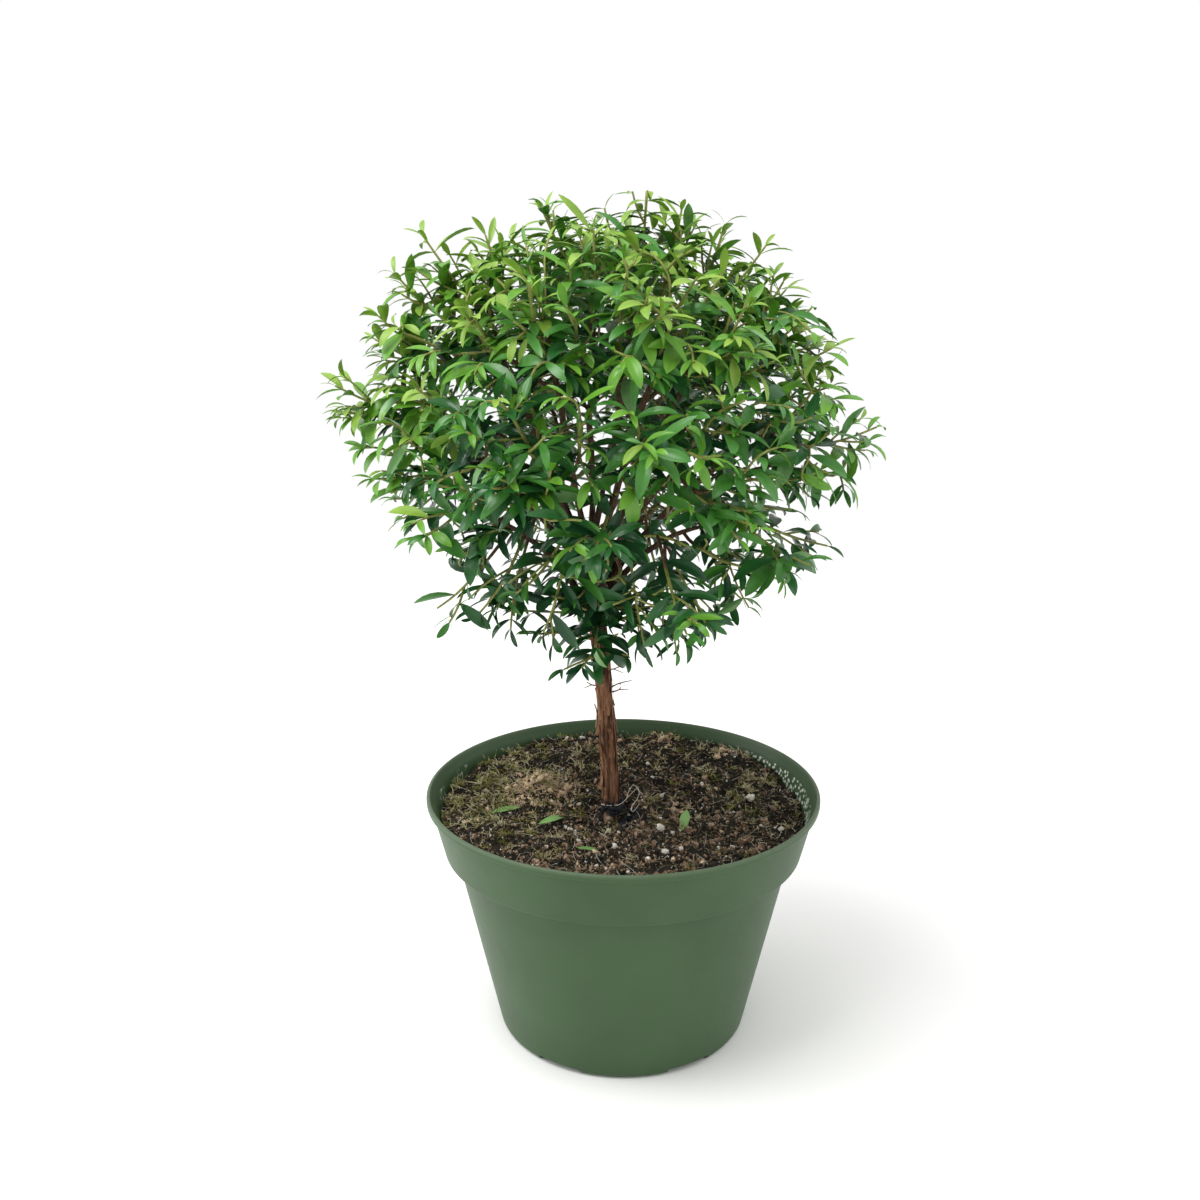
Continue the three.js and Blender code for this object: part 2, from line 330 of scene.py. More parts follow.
MASS_NAMES = sorted(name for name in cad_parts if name.startswith("mass_"))
BOUGH_NAMES = [name.replace("mass_", "bough_") for name in MASS_NAMES]
_, pot_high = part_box("pot")
stem_low, stem_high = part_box("stem")
soil_top = stem_low.z
stem_points = node_points("stem")
foot = stem_points[stem_points[:, 2] < stem_low.z + 0.5 * MM].mean(axis=0)
head = stem_points[stem_points[:, 2] > stem_high.z - 0.5 * MM].mean(axis=0)
print("stem foot and head in mm:", (foot / MM).round(1), (head / MM).round(1))

# %% [markdown]
# ## The pot
#
# Nursery pots are moulded in one shot from polypropylene, a millimetre or two thick. This one has
# a straight tapered body, a step up to a deep band that stiffens the rim, and a rolled lip over it.
# Six slots where the wall meets the underside let water out. The wall is one closed outline turned
# about the pot's axis, with every edge rounded as a mould rounds it, and then the slots are cut.

# %% Outline of the wall
POT_RADIUS = pot_high.x
POT_HEIGHT = pot_high.z
WALL = 1.5 * MM
FLOOR = 2.2 * MM
FOOT_RADIUS = 53.4 * MM
FOOT_ROUND = 3.2 * MM
BODY_TOP_RADIUS = 70.8 * MM
BAND_HEIGHT = 24.5 * MM
BAND_LOW_RADIUS = 75.6 * MM
BAND_TOP_RADIUS = 80.6 * MM
LIP_DEPTH = 3.4 * MM
STEP_HEIGHT = POT_HEIGHT - BAND_HEIGHT


def arc(middle, radius, start_degrees, end_degrees, count=6):
    """Points of an arc in the wall's section, as (distance from the axis, height)."""
    turns = np.radians(np.linspace(start_degrees, end_degrees, count))
    return [(middle[0] + radius * math.cos(t), middle[1] + radius * math.sin(t)) for t in turns]


def straight(start, end, count):
    """Points between two corners of the section, without the corners themselves."""
    shares = np.linspace(0, 1, count + 2)[1:-1]
    return [tuple(np.array(start) + (np.array(end) - np.array(start)) * share) for share in shares]


def wall_section():
    """The closed section of the pot, from the middle of the underside round to the middle of the floor."""
    step_round, lip_round = 1.1 * MM, 0.85 * MM
    lip_low = POT_HEIGHT - LIP_DEPTH
    underside = [(0, 0.6 * MM), (FOOT_RADIUS * 0.72, 0.6 * MM), (FOOT_RADIUS * 0.78, 0)]
    foot_edge = arc((FOOT_RADIUS - FOOT_ROUND + 0.2 * MM, FOOT_ROUND), FOOT_ROUND, -90, -6)
    body_top = (BODY_TOP_RADIUS, STEP_HEIGHT - 0.8 * MM)
    step_out = arc((BODY_TOP_RADIUS + step_round, body_top[1]), step_round, 180, 90, 5)
    step_in = arc((BAND_LOW_RADIUS - 0.9 * MM, step_out[-1][1] + 0.9 * MM), 0.9 * MM, -90, -4, 5)
    band_top = (BAND_TOP_RADIUS, lip_low)
    under_lip = arc((BAND_TOP_RADIUS + 0.5 * MM, lip_low - 0.1 * MM), 0.5 * MM, 180, 90, 4)
    lip_low_edge = arc((POT_RADIUS - lip_round, lip_low + 0.4 * MM + lip_round), lip_round, -90, 0, 5)
    lip_top_edge = arc((POT_RADIUS - lip_round, POT_HEIGHT - lip_round), lip_round, 0, 90, 6)
    lip_inner = arc((POT_RADIUS - WALL + 0.5 * MM, POT_HEIGHT - 0.5 * MM), 0.5 * MM, 90, 180, 6)
    under_lip_inner = (BAND_TOP_RADIUS - WALL, lip_low)
    inner_step = [
        (BAND_LOW_RADIUS - WALL, STEP_HEIGHT + 2 * MM),
        (BODY_TOP_RADIUS - WALL, STEP_HEIGHT + 0.4 * MM),
    ]
    inner_foot = [(FOOT_RADIUS - 0.9 * WALL, FLOOR + 3 * MM), (FOOT_RADIUS - 2.8 * WALL, FLOOR)]
    return (underside + foot_edge + straight(foot_edge[-1], body_top, 24) + step_out + step_in
        + straight(step_in[-1], band_top, 8) + under_lip + lip_low_edge + lip_top_edge + lip_inner
        + [under_lip_inner] + straight(under_lip_inner, inner_step[0], 8) + inner_step
        + straight(inner_step[1], inner_foot[0], 12) + inner_foot + [(0, FLOOR)])


# %% Turn the wall
POT_SIDES = 240


def turned(section, sides):
    """Points, quads and triangles of a section turned about Z. It starts and ends on the axis."""
    radii, heights = np.array(section[1:-1]).T
    turns = np.arange(sides) * 2 * math.pi / sides
    rings = np.stack([np.outer(radii, np.cos(turns)), np.outer(radii, np.sin(turns)),
        np.repeat(heights[:, None], sides, axis=1)], -1).reshape(-1, 3)
    poles = [(0, 0, section[0][1]), (0, 0, section[-1][1])]
    return np.vstack([rings, poles]), *ring_faces(len(radii), sides)


# %% Cut the drain slots
DRAIN = {"count": 6, "width_degrees": 21, "height": 2.6 * MM, "inner": 43 * MM, "first_degrees": -60}


def slot_cutter():
    """Blocks that fill the drain slots, one for each, as one object for the cut."""
    cutters = bmesh.new()
    outer = FOOT_RADIUS + 6 * MM
    half = DRAIN["width_degrees"] / 2
    for i in range(DRAIN["count"]):
        middle = DRAIN["first_degrees"] + 360 / DRAIN["count"] * i
        outline = arc((0, 0), outer, middle - half, middle + half, 9)
        outline += arc((0, 0), DRAIN["inner"], middle + half, middle - half, 9)
        face = cutters.faces.new([cutters.verts.new((x, y, -1 * MM)) for x, y in outline])
        raised = bmesh.ops.extrude_face_region(cutters, geom=[face])["geom"]
        tops = [element for element in raised if isinstance(element, bmesh.types.BMVert)]
        bmesh.ops.translate(cutters, verts=tops, vec=(0, 0, DRAIN["height"] + 1 * MM))
    bmesh.ops.recalc_face_normals(cutters, faces=cutters.faces)
    mesh = bpy.data.meshes.new("slot_cutter")
    cutters.to_mesh(mesh)
    cutters.free()
    cutter = bpy.data.objects.new("slot_cutter", mesh)
    bpy.context.scene.collection.objects.link(cutter)
    return cutter


def with_cuts(piece, cutter):
    """The piece's mesh with the cutter taken out of it. The cutter is used up."""
    cut = piece.modifiers.new("slots", "BOOLEAN")
    cut.object = cutter
    cut.solver = "EXACT"
    piece.data = bpy.data.meshes.new_from_object(
        piece.evaluated_get(bpy.context.evaluated_depsgraph_get()))
    piece.modifiers.clear()
    bpy.data.objects.remove(cutter)
    piece.data.shade_smooth()
    piece.data.set_sharp_from_angle(angle=math.radians(35))


# %% [markdown]
# ### Finish of the pot
#
# Moulded polypropylene is smooth but never glossy: its skin scatters light a little, so the sheen
# is broad. Its IOR is about 1.49. The green varies very slightly in clouds a few centimetres wide,
# where the melt met. The top of the lip is painted a paler green, partly for scuffs from stacking and
# partly as a painted highlight along the rim. Faint drag lines run up the body from the mould, and
# hard water has left a crust of white specks on the inner wall.

# %% Polypropylene
def moulded_polypropylene():
    """Green polypropylene, with a paler lip top (scuffs and a painted highlight) and limescale on the
    inner wall.
    """
    material, tree, shader, place = new_material("moulded_polypropylene",
        {"Roughness": 0.46, "IOR": 1.49, "Specular IOR Level": 0.3})
    parts = add_node(tree, "ShaderNodeSeparateXYZ", links={"Vector": place})
    height = parts.outputs["Z"]
    clouds = add_node(tree, "ShaderNodeTexNoise", {"Scale": cells_per_metre(38), "Detail": 4},
        {"Vector": place})
    green = add_node(tree, "ShaderNodeValToRGB", {"stops": [(0.3, "#344c2e"), (0.7, "#3b5535")]},
        {"Fac": clouds})

    # The top of the lip is mixed to a paler green: partly scuff wear, partly a painted highlight along the
    # rim.
    lip = add_node(tree, "ShaderNodeMapRange",
        {"From Min": POT_HEIGHT - 1.6 * MM, "From Max": POT_HEIGHT - 0.2 * MM}, {"Value": height})
    scuffs = add_node(tree, "ShaderNodeTexNoise",
        {"Scale": cells_per_metre(4), "Detail": 6, "Roughness": 0.7}, {"Vector": place})
    scuffs_and_highlight = add_node(tree, "ShaderNodeMath", {"operation": "MULTIPLY"}, {0: lip, 1: scuffs})
    lip_green = add_node(tree, "ShaderNodeMix", {"data_type": "RGBA", 7: linear("#5f6b56")},
        {0: scuffs_and_highlight, 6: green})

    flat_place = add_node(tree, "ShaderNodeVectorMath", {"operation": "MULTIPLY", 1: (1, 1, 0)},
        {0: place})
    from_axis = add_node(tree, "ShaderNodeVectorMath", {"operation": "LENGTH"}, {0: flat_place})
    inner_radius = add_node(tree, "ShaderNodeMapRange",
        {"From Min": STEP_HEIGHT, "From Max": POT_HEIGHT, "To Min": BAND_LOW_RADIUS - 0.6 * WALL,
        "To Max": BAND_TOP_RADIUS - 0.6 * WALL}, {"Value": height})
    inside = add_node(tree, "ShaderNodeMath", {"operation": "LESS_THAN"}, {0: from_axis, 1: inner_radius})
    crust_spots = add_node(tree, "ShaderNodeTexVoronoi", {"Scale": cells_per_metre(1.9), "Randomness": 1},
        {"Vector": place})
    near_spot = add_node(tree, "ShaderNodeMapRange", {"From Min": 0.46, "From Max": 0.32},
        {"Value": crust_spots})
    crust_areas = add_node(tree, "ShaderNodeTexNoise", {"Scale": cells_per_metre(16), "Detail": 3},
        {"Vector": place})
    wet_side = add_node(tree, "ShaderNodeMapRange",
        {"From Min": 40 * MM, "From Max": 76 * MM, "To Min": 0, "To Max": 0.34},
        {"Value": parts.outputs["X"]})
    crust_share = add_node(tree, "ShaderNodeMath", {"operation": "ADD"}, {0: crust_areas, 1: wet_side})
    in_area = add_node(tree, "ShaderNodeMapRange", {"From Min": 0.57, "From Max": 0.7},
        {"Value": crust_share})
    crust = add_node(tree, "ShaderNodeMath", {"operation": "MULTIPLY"}, {0: near_spot, 1: in_area})
    above_step = add_node(tree, "ShaderNodeMath", {"operation": "GREATER_THAN", 1: STEP_HEIGHT + 2 * MM},
        {0: height})
    inner_band = add_node(tree, "ShaderNodeMath", {"operation": "MULTIPLY"}, {0: above_step, 1: inside})
    inner_crust = add_node(tree, "ShaderNodeMath", {"operation": "MULTIPLY"}, {0: crust, 1: inner_band})
    whole = add_node(tree, "ShaderNodeMix", {"data_type": "RGBA", 7: linear("#d6dccf")},
        {0: inner_crust, 6: lip_green})

    drag_place = add_node(tree, "ShaderNodeMapping",
        {"Scale": (cells_per_metre(1.2), cells_per_metre(1.2), cells_per_metre(60))}, {"Vector": place})
    drag_lines = add_node(tree, "ShaderNodeTexNoise", {"Scale": 1, "Detail": 3}, {"Vector": drag_place})
    skin = add_node(tree, "ShaderNodeTexNoise", {"Scale": cells_per_metre(0.7), "Detail": 2},
        {"Vector": place})
    surface = add_node(tree, "ShaderNodeMath", {"operation": "MULTIPLY_ADD", 1: 0.5},
        {0: skin, 2: drag_lines})
    bump = add_node(tree, "ShaderNodeBump", {"Strength": 0.25, "Distance": 0.12 * MM},
        {"Height": surface})
    sheen = add_node(tree, "ShaderNodeMapRange", {"To Min": 0.4, "To Max": 0.52}, {"Value": scuffs})
    connect(tree, shader, {"Base Color": whole, "Normal": bump, "Roughness": sheen})
    return material


pot_wall = Heap()
pot_wall.add(*turned(wall_section(), POT_SIDES))
pot = pot_wall.piece("nursery_pot", moulded_polypropylene(), "pot", "pot")
with_cuts(pot, slot_cutter())
print("drain slots cut:", DRAIN["count"])

# %% [markdown]
# ## Potting mix
#
# The mix is moist peat and fine bark with white grains of perlite, and moss has started on its left
# side. A flat disc with a printed pattern looks dead from close by. Here the surface is a fine
# relief of noise at four sizes, banked up against the back wall, and thousands of real crumbs,
# grains and fibres lie on it.

# %% Shape of the surface
TAN_CLUMP = (-36, 12, 9)
up_band = (soil_top - STEP_HEIGHT) / BAND_HEIGHT
SOIL_RADIUS = BAND_LOW_RADIUS + (BAND_TOP_RADIUS - BAND_LOW_RADIUS) * up_band - WALL + 0.4 * MM


def hills(x, y, size, layer):
    """Smooth noise, from about -1 to 1, in hills of a size. Each layer has hills of its own."""
    return noise.noise(Vector((x / size, y / size, layer)))


def clump(x, y, at_x, at_y, size):
    """A round rise that is 1 at its middle and fades out over its size, all in millimetres."""
    return math.exp(-((x - at_x) ** 2 + (y - at_y) ** 2) / size**2)


def soil_height(x, y):
    """Height of the mix at a place, in metres: banks, clumps, a hollow by the stem, and crumbs."""
    a, b = x / MM, y / MM
    banks = 2.2 * hills(a, b, 26, 3.1) + 5.0 * np.interp(b, (8, 62), (0, 1))
    lumps = 2.4 * hills(a, b, 8.5, 1.7) + 1.6 * hills(a, b, 3.6, 9.2)
    crumbs = 0.8 * hills(a, b, 1.5, 4.4)
    moss_bank = 3.2 * clump(a, b, -55, 6, 21) + 1.6 * clump(a, b, -62, -22, 14)
    tan_lump = 6.6 * clump(a, b, *TAN_CLUMP)
    back_lumps = 2.5 * clump(a, b, 20, 62, 7) + 2.0 * clump(a, b, 50, 50, 8)
    foot_x, foot_y = foot[0] / MM, foot[1] / MM
    hollow = 2.0 * clump(a, b, foot_x, foot_y, 5) - 5.5 * clump(a, b, foot_x + 4.0, foot_y - 6.5, 4.2)
    edge = -1.2 * np.interp(math.hypot(a, b) / (SOIL_RADIUS / MM), (0.9, 1), (0, 1))
    raised = banks + lumps + crumbs + moss_bank + tan_lump + back_lumps + hollow + edge
    return soil_top + raised * MM


# %% Build the surface
SOIL_RINGS, SOIL_SPOKES = 110, 230


def soil_mesh(heap):
    """Adds the mix: its relief on top, and a plain side and bottom that follow the pot inside."""
    turns = [2 * math.pi * spoke / SOIL_SPOKES for spoke in range(SOIL_SPOKES)]
    top = []
    for ring in range(SOIL_RINGS, 0, -1):
        radius = SOIL_RADIUS * ring / SOIL_RINGS
        level = [(radius * math.cos(turn), radius * math.sin(turn)) for turn in turns]
        top += [(x, y, soil_height(x, y)) for x, y in level]
    sides = []
    low_corners = [
        (FOOT_RADIUS - 3 * WALL, FLOOR + 0.4 * MM),
        (FOOT_RADIUS - 1.2 * WALL, FLOOR + 3.4 * MM),
        (BODY_TOP_RADIUS - 1.6 * WALL, STEP_HEIGHT),
        (BAND_LOW_RADIUS - 1.6 * WALL, STEP_HEIGHT + 3 * MM),
    ]
    for radius, height in low_corners:
        sides += [(radius * math.cos(turn), radius * math.sin(turn), height) for turn in turns]
    poles = [(0, 0, low_corners[0][1]), (0, 0, soil_height(0, 0))]
    faces = ring_faces(SOIL_RINGS + len(low_corners), SOIL_SPOKES)
    heap.add(np.array(sides + top + poles), *faces)


mix = Heap()
soil_mesh(mix)

# %% [markdown]
# ### Crumbs, grains and fibres
#
# A crumb is a twenty-sided ball with its corners pushed about at random, squashed and turned. One
# array of ball corners makes all crumbs of a kind at once. Fibres of peat, moss and straw are thin
# bent strands. Every kind lies where a small map of chances sends it: moss on the left, dry crumbs
# in front, and a straw coloured clump between. Each kind has its own piece and its own finish.

# %% Scatter
WALL_GAP, STEM_GAP = 1.4 * MM, 5.2 * MM


def ball_shape(finer):
    """Corners and triangles of a small ball."""
    shape = bmesh.new()
    bmesh.ops.create_icosphere(shape, subdivisions=finer, radius=1)
    corners = np.array([vertex.co for vertex in shape.verts])
    triangles = np.array([[vertex.index for vertex in face.verts] for face in shape.faces])
    shape.free()
    return corners, triangles


def random_turns(count, rng):
    """Random rotations, as an array of three by three matrices."""
    axes = unit(rng.normal(size=(count, 3)))
    angles = rng.uniform(0, 2 * math.pi, count)
    return np.array([Matrix.Rotation(angle, 3, Vector(axis)) for angle, axis in zip(angles, axes)])


def anywhere(x, y):
    """The chance of a place when every place is as good as the next."""
    return 1.0


def places_on_soil(count, rng, chance=anywhere):
    """Random places on the surface, kept with a chance that depends on where they are."""
    found = []
    while len(found) < count:
        radius = (SOIL_RADIUS - WALL_GAP) * math.sqrt(rng.random())
        turn = rng.uniform(0, 2 * math.pi)
        x, y = radius * math.cos(turn), radius * math.sin(turn)
        if rng.random() < chance(x / MM, y / MM) and math.hypot(x - foot[0], y - foot[1]) > STEM_GAP:
            found.append((x, y, soil_height(x, y)))
    return np.array(found)


def crumbs(places, sizes, rng, finer=1, roughness=0.35, sunk=0.25, flat=0.4):
    """A heap of lumps of the sizes, one at each of the places."""
    corners, triangles = ball_shape(finer)
    count = len(places)
    shapes = corners[None] * (1 + roughness * rng.normal(size=(count, len(corners), 1)))
    shapes *= rng.uniform(1 - flat, 1 + flat, (count, 1, 3))
    shapes = np.einsum("nij,npj->npi", random_turns(count, rng), shapes) * sizes[:, None, None]
    centres = places + np.stack([np.zeros(count), np.zeros(count), sizes * (1 - 2 * sunk)], -1)
    heap = Heap()
    index = triangles[None] + (np.arange(count) * len(corners))[:, None, None]
    heap.add((shapes + centres[:, None]).reshape(-1, 3), index.reshape(-1, 3))
    return heap


def lognormal(middle_mm, spread, count, rng):
    """Sizes spread evenly above and below a middle size."""
    return middle_mm * MM * np.exp(rng.normal(0, spread, count))


def strands(heap, places, length_mm, spread, radius_mm, steepness, rng):
    """Adds thin bent fibres that start at the places. Their lengths spread about the middle one."""
    radius = radius_mm * MM
    for place, length in zip(places, lognormal(length_mm, spread, len(places), rng)):
        heading = unit(np.array([*rng.normal(size=2), rng.uniform(*steepness)]))
        bend = rng.normal(0, 0.5, 3)
        share = np.linspace(0, 1, 4)[:, None]
        line = place + heading * length * share + bend * length * share**2 * [1, 1, 0.3]
        from_axis = np.linalg.norm(line[:, :2], axis=1, keepdims=True)
        line[:, :2] *= np.minimum(1, (SOIL_RADIUS - 0.6 * MM) / from_axis)
        tube(heap, line, np.linspace(radius, radius * 0.6, 4), sides=3)


# %% Where each kind lies
def patchy(x, y):
    """Uneven spread over patches of seven millimetres, as watering leaves it: from 0.2 to 1.3."""
    return 0.2 + 1.1 * float(np.clip(0.5 + 1.5 * hills(x, y, 7, 5.3), 0, 1))


def mossy(x, y):
    """How likely moss is at a place in millimetres: thick on the left, thin towards the back."""
    left = clump(x, y, -60, -2, 24) + 0.7 * clump(x, y, -48, 34, 18)
    spread = 1.1 * left + 0.3 * clump(x, y, 0, 62, 30) + 0.3 * clump(x, y, 60, 10, 26) + 0.04
    return min(1, spread * patchy(x, y))


def bare(x, y):
    """How likely bare peat is at a place in millimetres."""
    return max(0.15, 1 - mossy(x, y))


def worn_front(x, y):
    """How likely dry brown crumbs are at a place: they lie in front, where water has sorted them."""
    return bare(x, y) * (0.22 + 0.78 * clump(x, y, 14, -45, 42)) * patchy(x + 40, y)


def pale_spots(x, y):
    """How likely straw coloured crumbs are at a place: in one large clump and two smaller ones."""
    back = 0.4 * clump(x, y, 20, 63, 5) + 0.4 * clump(x, y, 50, 52, 5) + 0.3 * clump(x, y, 21, -2, 4)
    return min(1, clump(x, y, *TAN_CLUMP) ** 0.7 + back)


def shaded_hollow(x, y):
    """How likely a crumb of painted shade is at a place: only in the hollow in front of the stem."""
    return clump(x, y, foot[0] / MM + 4, foot[1] / MM - 4.5, 5.5)


def gritty_front(x, y):
    """How likely a grain of perlite is at a place: most of them lie in front."""
    return 0.1 + 0.9 * clump(x, y, 14, -36, 38)


def tufted(centres, each, spread, rng):
    """Places in tufts: each centre repeated, moved off it a little, and set down on the mix."""
    flat = np.repeat(centres[:, :2], each, axis=0) + rng.normal(0, spread, (len(centres) * each, 2))
    flat *= np.minimum(1, (SOIL_RADIUS - 1 * MM) / np.linalg.norm(flat, axis=1, keepdims=True))
    return np.array([(x, y, soil_height(x, y)) for x, y in flat])


# %% Crumbs and grains
# Larger perlite grains: x, y and size in mm.
PERLITE_MM = [
    (15, -22, 1.4), (-6, -21, 1.3), (55, 6, 1.4), (64, -23, 1.1), (56, -21, 0.9), (22, -44, 1.1),
    (9, -48, 0.8), (-22, -20, 0.9), (-20, -21, 0.7), (-4, -38, 1.0), (35, 19, 0.8), (32, 20, 0.7),
    (-25, 67, 1.1), (-18, 68, 0.9), (37, -39, 0.7), (12, 39, 0.8),
]
DARK_CRUMBS, BROWN_CRUMBS, GRAINS, GRAIN_DUST = 3600, 4400, 50, 1500
COLLAR_CRUMBS, COLLAR_RADIUS, COLLAR_HEIGHT = 340, 3.7 * MM, 6.4 * MM
CRUMB_SPREAD = 0.45

rng = np.random.default_rng(11)
places = places_on_soil(DARK_CRUMBS, rng, bare)
dark_crumbs = crumbs(places, lognormal(0.46, CRUMB_SPREAD, DARK_CRUMBS, rng), rng, flat=0.6)
places = places_on_soil(BROWN_CRUMBS, rng, worn_front)
brown_crumbs = crumbs(places, lognormal(0.42, CRUMB_SPREAD, BROWN_CRUMBS, rng), rng, flat=0.6)
places = np.vstack([places_on_soil(200, rng, bare), places_on_soil(650, rng, pale_spots)])
tan_crumbs = crumbs(places, lognormal(0.48, CRUMB_SPREAD, len(places), rng), rng, flat=0.6)

# Near-black crumbs of painted shade fill the hollow in front of the stem and ring the stem's foot as a
# collar.
hollow_crumbs = places_on_soil(130, rng, shaded_hollow)
turns, rises = rng.normal(-1.5, 1.2, COLLAR_CRUMBS), COLLAR_HEIGHT * rng.random(COLLAR_CRUMBS) ** 1.5
collar = np.stack([np.cos(turns), np.sin(turns), np.zeros(COLLAR_CRUMBS)], -1) * COLLAR_RADIUS
collar += foot + rises[:, None] * [0, 0, 1] - [0, 0, 1 * MM]
places = np.vstack([hollow_crumbs, collar])
hollow_shade_crumbs = crumbs(places, lognormal(0.75, 0.35, len(places), rng), rng)

small_grains = places_on_soil(GRAINS, rng, gritty_front)
large_grains = [(x * MM, y * MM, soil_height(x * MM, y * MM)) for x, y, _ in PERLITE_MM]
sizes = np.concatenate([lognormal(0.6, 0.3, GRAINS, rng), [1.2 * size * MM for _, _, size in PERLITE_MM]])
places = np.vstack([small_grains, large_grains])
perlite = crumbs(places, sizes, rng, finer=2, roughness=0.17, sunk=0.22, flat=0.35)
dust = crumbs(places_on_soil(GRAIN_DUST, rng), lognormal(0.23, 0.4, GRAIN_DUST, rng), rng)
perlite.add(np.concatenate(dust.points), *dust.faces)
print("perlite grains:", len(places), "and dust:", GRAIN_DUST)

# %% Moss and fibres
moss, pale_moss, fibres, pale_fibres = Heap(), Heap(), Heap(), Heap()
UPWARDS, LYING = (-0.2, 1.4), (-0.1, 0.7)
# Each kind: its heap, where it lies, how many places, strands in the tuft at each place and how far
# they spread, how high they start, and the strands' length, its spread, radius and steepness. In mm.
STRANDS_MM = [
    (moss, mossy, 150, 18, 0.9, 0.4, 1.8, 0.4, 0.2, UPWARDS),
    (pale_moss, mossy, 170, 12, 0.9, 0.7, 1.8, 0.4, 0.19, UPWARDS),
    (fibres, anywhere, 2400, 1, 0, 0.5, 2.6, 0.5, 0.12, LYING),
    (pale_fibres, anywhere, 760, 1, 0, 0.6, 2.2, 0.5, 0.09, LYING),
    (tan_crumbs, pale_spots, 60, 16, 1.0, 0.3, 1.5, 0.4, 0.2, UPWARDS),
]
for heap, chance, count, each, tuft, above, *strand in STRANDS_MM:
    places = places_on_soil(count, rng, chance)
    if each > 1:
        places = tufted(places, each, tuft * MM, rng)
    strands(heap, places + [0, 0, above * MM], *strand, rng)
print("strands from", sum(row[2] * row[3] for row in STRANDS_MM), "places")

# Bare roots that loop over the hollow by the stem: points in mm, measured from the stem's foot.
ROOT_POINTS = 17
LOOSE_ROOTS_MM = [
    [(-4.6, -2, 4), (-2, -4.6, 4.6), (2, -4.9, 4.6), (4.4, -3.6, 5.2), (7, -2.4, 8), (11, -1, 11.6)],
    [(6, -2.6, 6.6), (6.6, -1.8, 9), (8, -1, 11.4), (8.8, 0, 12)],
    [(7.8, -4, 2.2), (8.2, -3.8, 4), (10.4, -3, 6.4), (11.6, -2, 9.2), (10.8, -1, 11.2)],
    [(8.4, -3.4, 3.6), (8, -4.4, 2.6), (8.6, -5, 1.6), (10, -4.4, 3.2), (11.4, -3.6, 5)],
    [(8.8, 0, 12), (10, 0.6, 11.4), (11.2, 1, 9), (13, 1.4, 7)],
]
for bends in LOOSE_ROOTS_MM:
    turns = np.array(bends) * MM
    root = at_length(np.linspace(0, len(turns) - 1, ROOT_POINTS), np.arange(len(turns)), turns)
    for _ in range(3):
        root[1:-1] = (root[:-2] + root[1:-1] + root[2:]) / 3
    tube(pale_fibres, foot + root, np.linspace(0.17, 0.1, ROOT_POINTS) * MM, sides=5)

# %% [markdown]
# ### Finish of the mix
#
# Moist peat is one of the darkest things in a garden, nearly black and dull brown on its dry crumbs,
# with no shine. The near-black crumbs in the hollow by the stem are painted shade. Perlite is glass
# puffed by heat, chalky white and faintly grey.
# Moss is yellow green where it grows and straw coloured where it has dried.

# %% Earth materials
def blotched(name, skin, patches, stops, grain, bump):
    """A finish with colours in blotches and a fine bump. Stops are colours, the rest are node settings."""
    material, tree, shader, place = new_material(name, skin)
    blotches = add_node(tree, "ShaderNodeTexNoise", patches, {"Vector": place})
    colours = add_node(tree, "ShaderNodeValToRGB", {"stops": stops}, {"Fac": blotches})
    grains = add_node(tree, "ShaderNodeTexNoise", grain, {"Vector": place})
    relief = add_node(tree, "ShaderNodeBump", bump, {"Height": grains})
    connect(tree, shader, {"Base Color": colours, "Normal": relief})
    return material


def earthy(name, stops, patch_mm, roughness=0.95, bump_mm=0.3):
    """A dull crumbly finish whose colour changes from patch to patch."""
    dull = {"Roughness": roughness, "Specular IOR Level": 0.2}
    patches = {"Scale": cells_per_metre(patch_mm), "Detail": 5, "Roughness": 0.65}
    grit = {"Scale": cells_per_metre(0.5), "Detail": 3}
    return blotched(name, dull, patches, stops, grit, {"Strength": 0.7, "Distance": bump_mm * MM})


# Each piece: its shapes, the name of its finish, its colour stops, patch size in mm, and any extras.
MIX_PIECES = {
    "potting_mix_surface": (mix, "moist_peat", [(0.3, "#0d0d0a"), (0.5, "#231f18"), (0.7, "#39342a")], 4),
    "bark_crumbs_dark": (dark_crumbs, "composted_bark",
        [(0.3, "#14120e"), (0.6, "#353027"), (0.8, "#5d5544")], 1.5),
    "bark_crumbs_brown": (brown_crumbs, "dry_bark_crumb",
        [(0.3, "#3c2f25"), (0.5, "#755e4a"), (0.72, "#c2ac95")], 1.5),
    "straw_clump": (tan_crumbs, "dry_straw_clump",
        [(0.3, "#8a7058"), (0.5, "#c2a88a"), (0.7, "#e6d6b8")], 1.2),
    # Painted shade: near-black crumbs in the hollow by the stem and round its foot.
    "hollow_shade_crumbs": (hollow_shade_crumbs, "wet_peat", [(0.3, "#0e1013"), (0.7, "#24282c")], 2, 0.6),
    "perlite_grains": (perlite, "perlite_glass_foam",
        [(0.3, "#989084"), (0.5, "#d2cbc0"), (0.7, "#f3efe8")], 1.2, 0.95, 0.2),
    "moss": (moss, "cushion_moss", [(0.35, "#23260f"), (0.5, "#6c6c37"), (0.68, "#b3ad6a")], 2.5),
    "moss_dry": (pale_moss, "dry_moss", [(0.3, "#5f5a3c"), (0.5, "#b0a880"), (0.7, "#e2dcb8")], 3),
    "peat_fibres": (fibres, "peat_fibre", [(0.3, "#2a2318"), (0.5, "#716346"), (0.72, "#cbbc95")], 2),
    "root_hairs": (pale_fibres, "dry_root_hair", [(0.3, "#b3aa97"), (0.7, "#ece6d8")], 3),
}
for name, (shapes, *finish) in MIX_PIECES.items():
    stands_for = ["potting_mix"] if shapes is mix else []
    shapes.piece(name, earthy(*finish), "potting_mix", *stands_for)

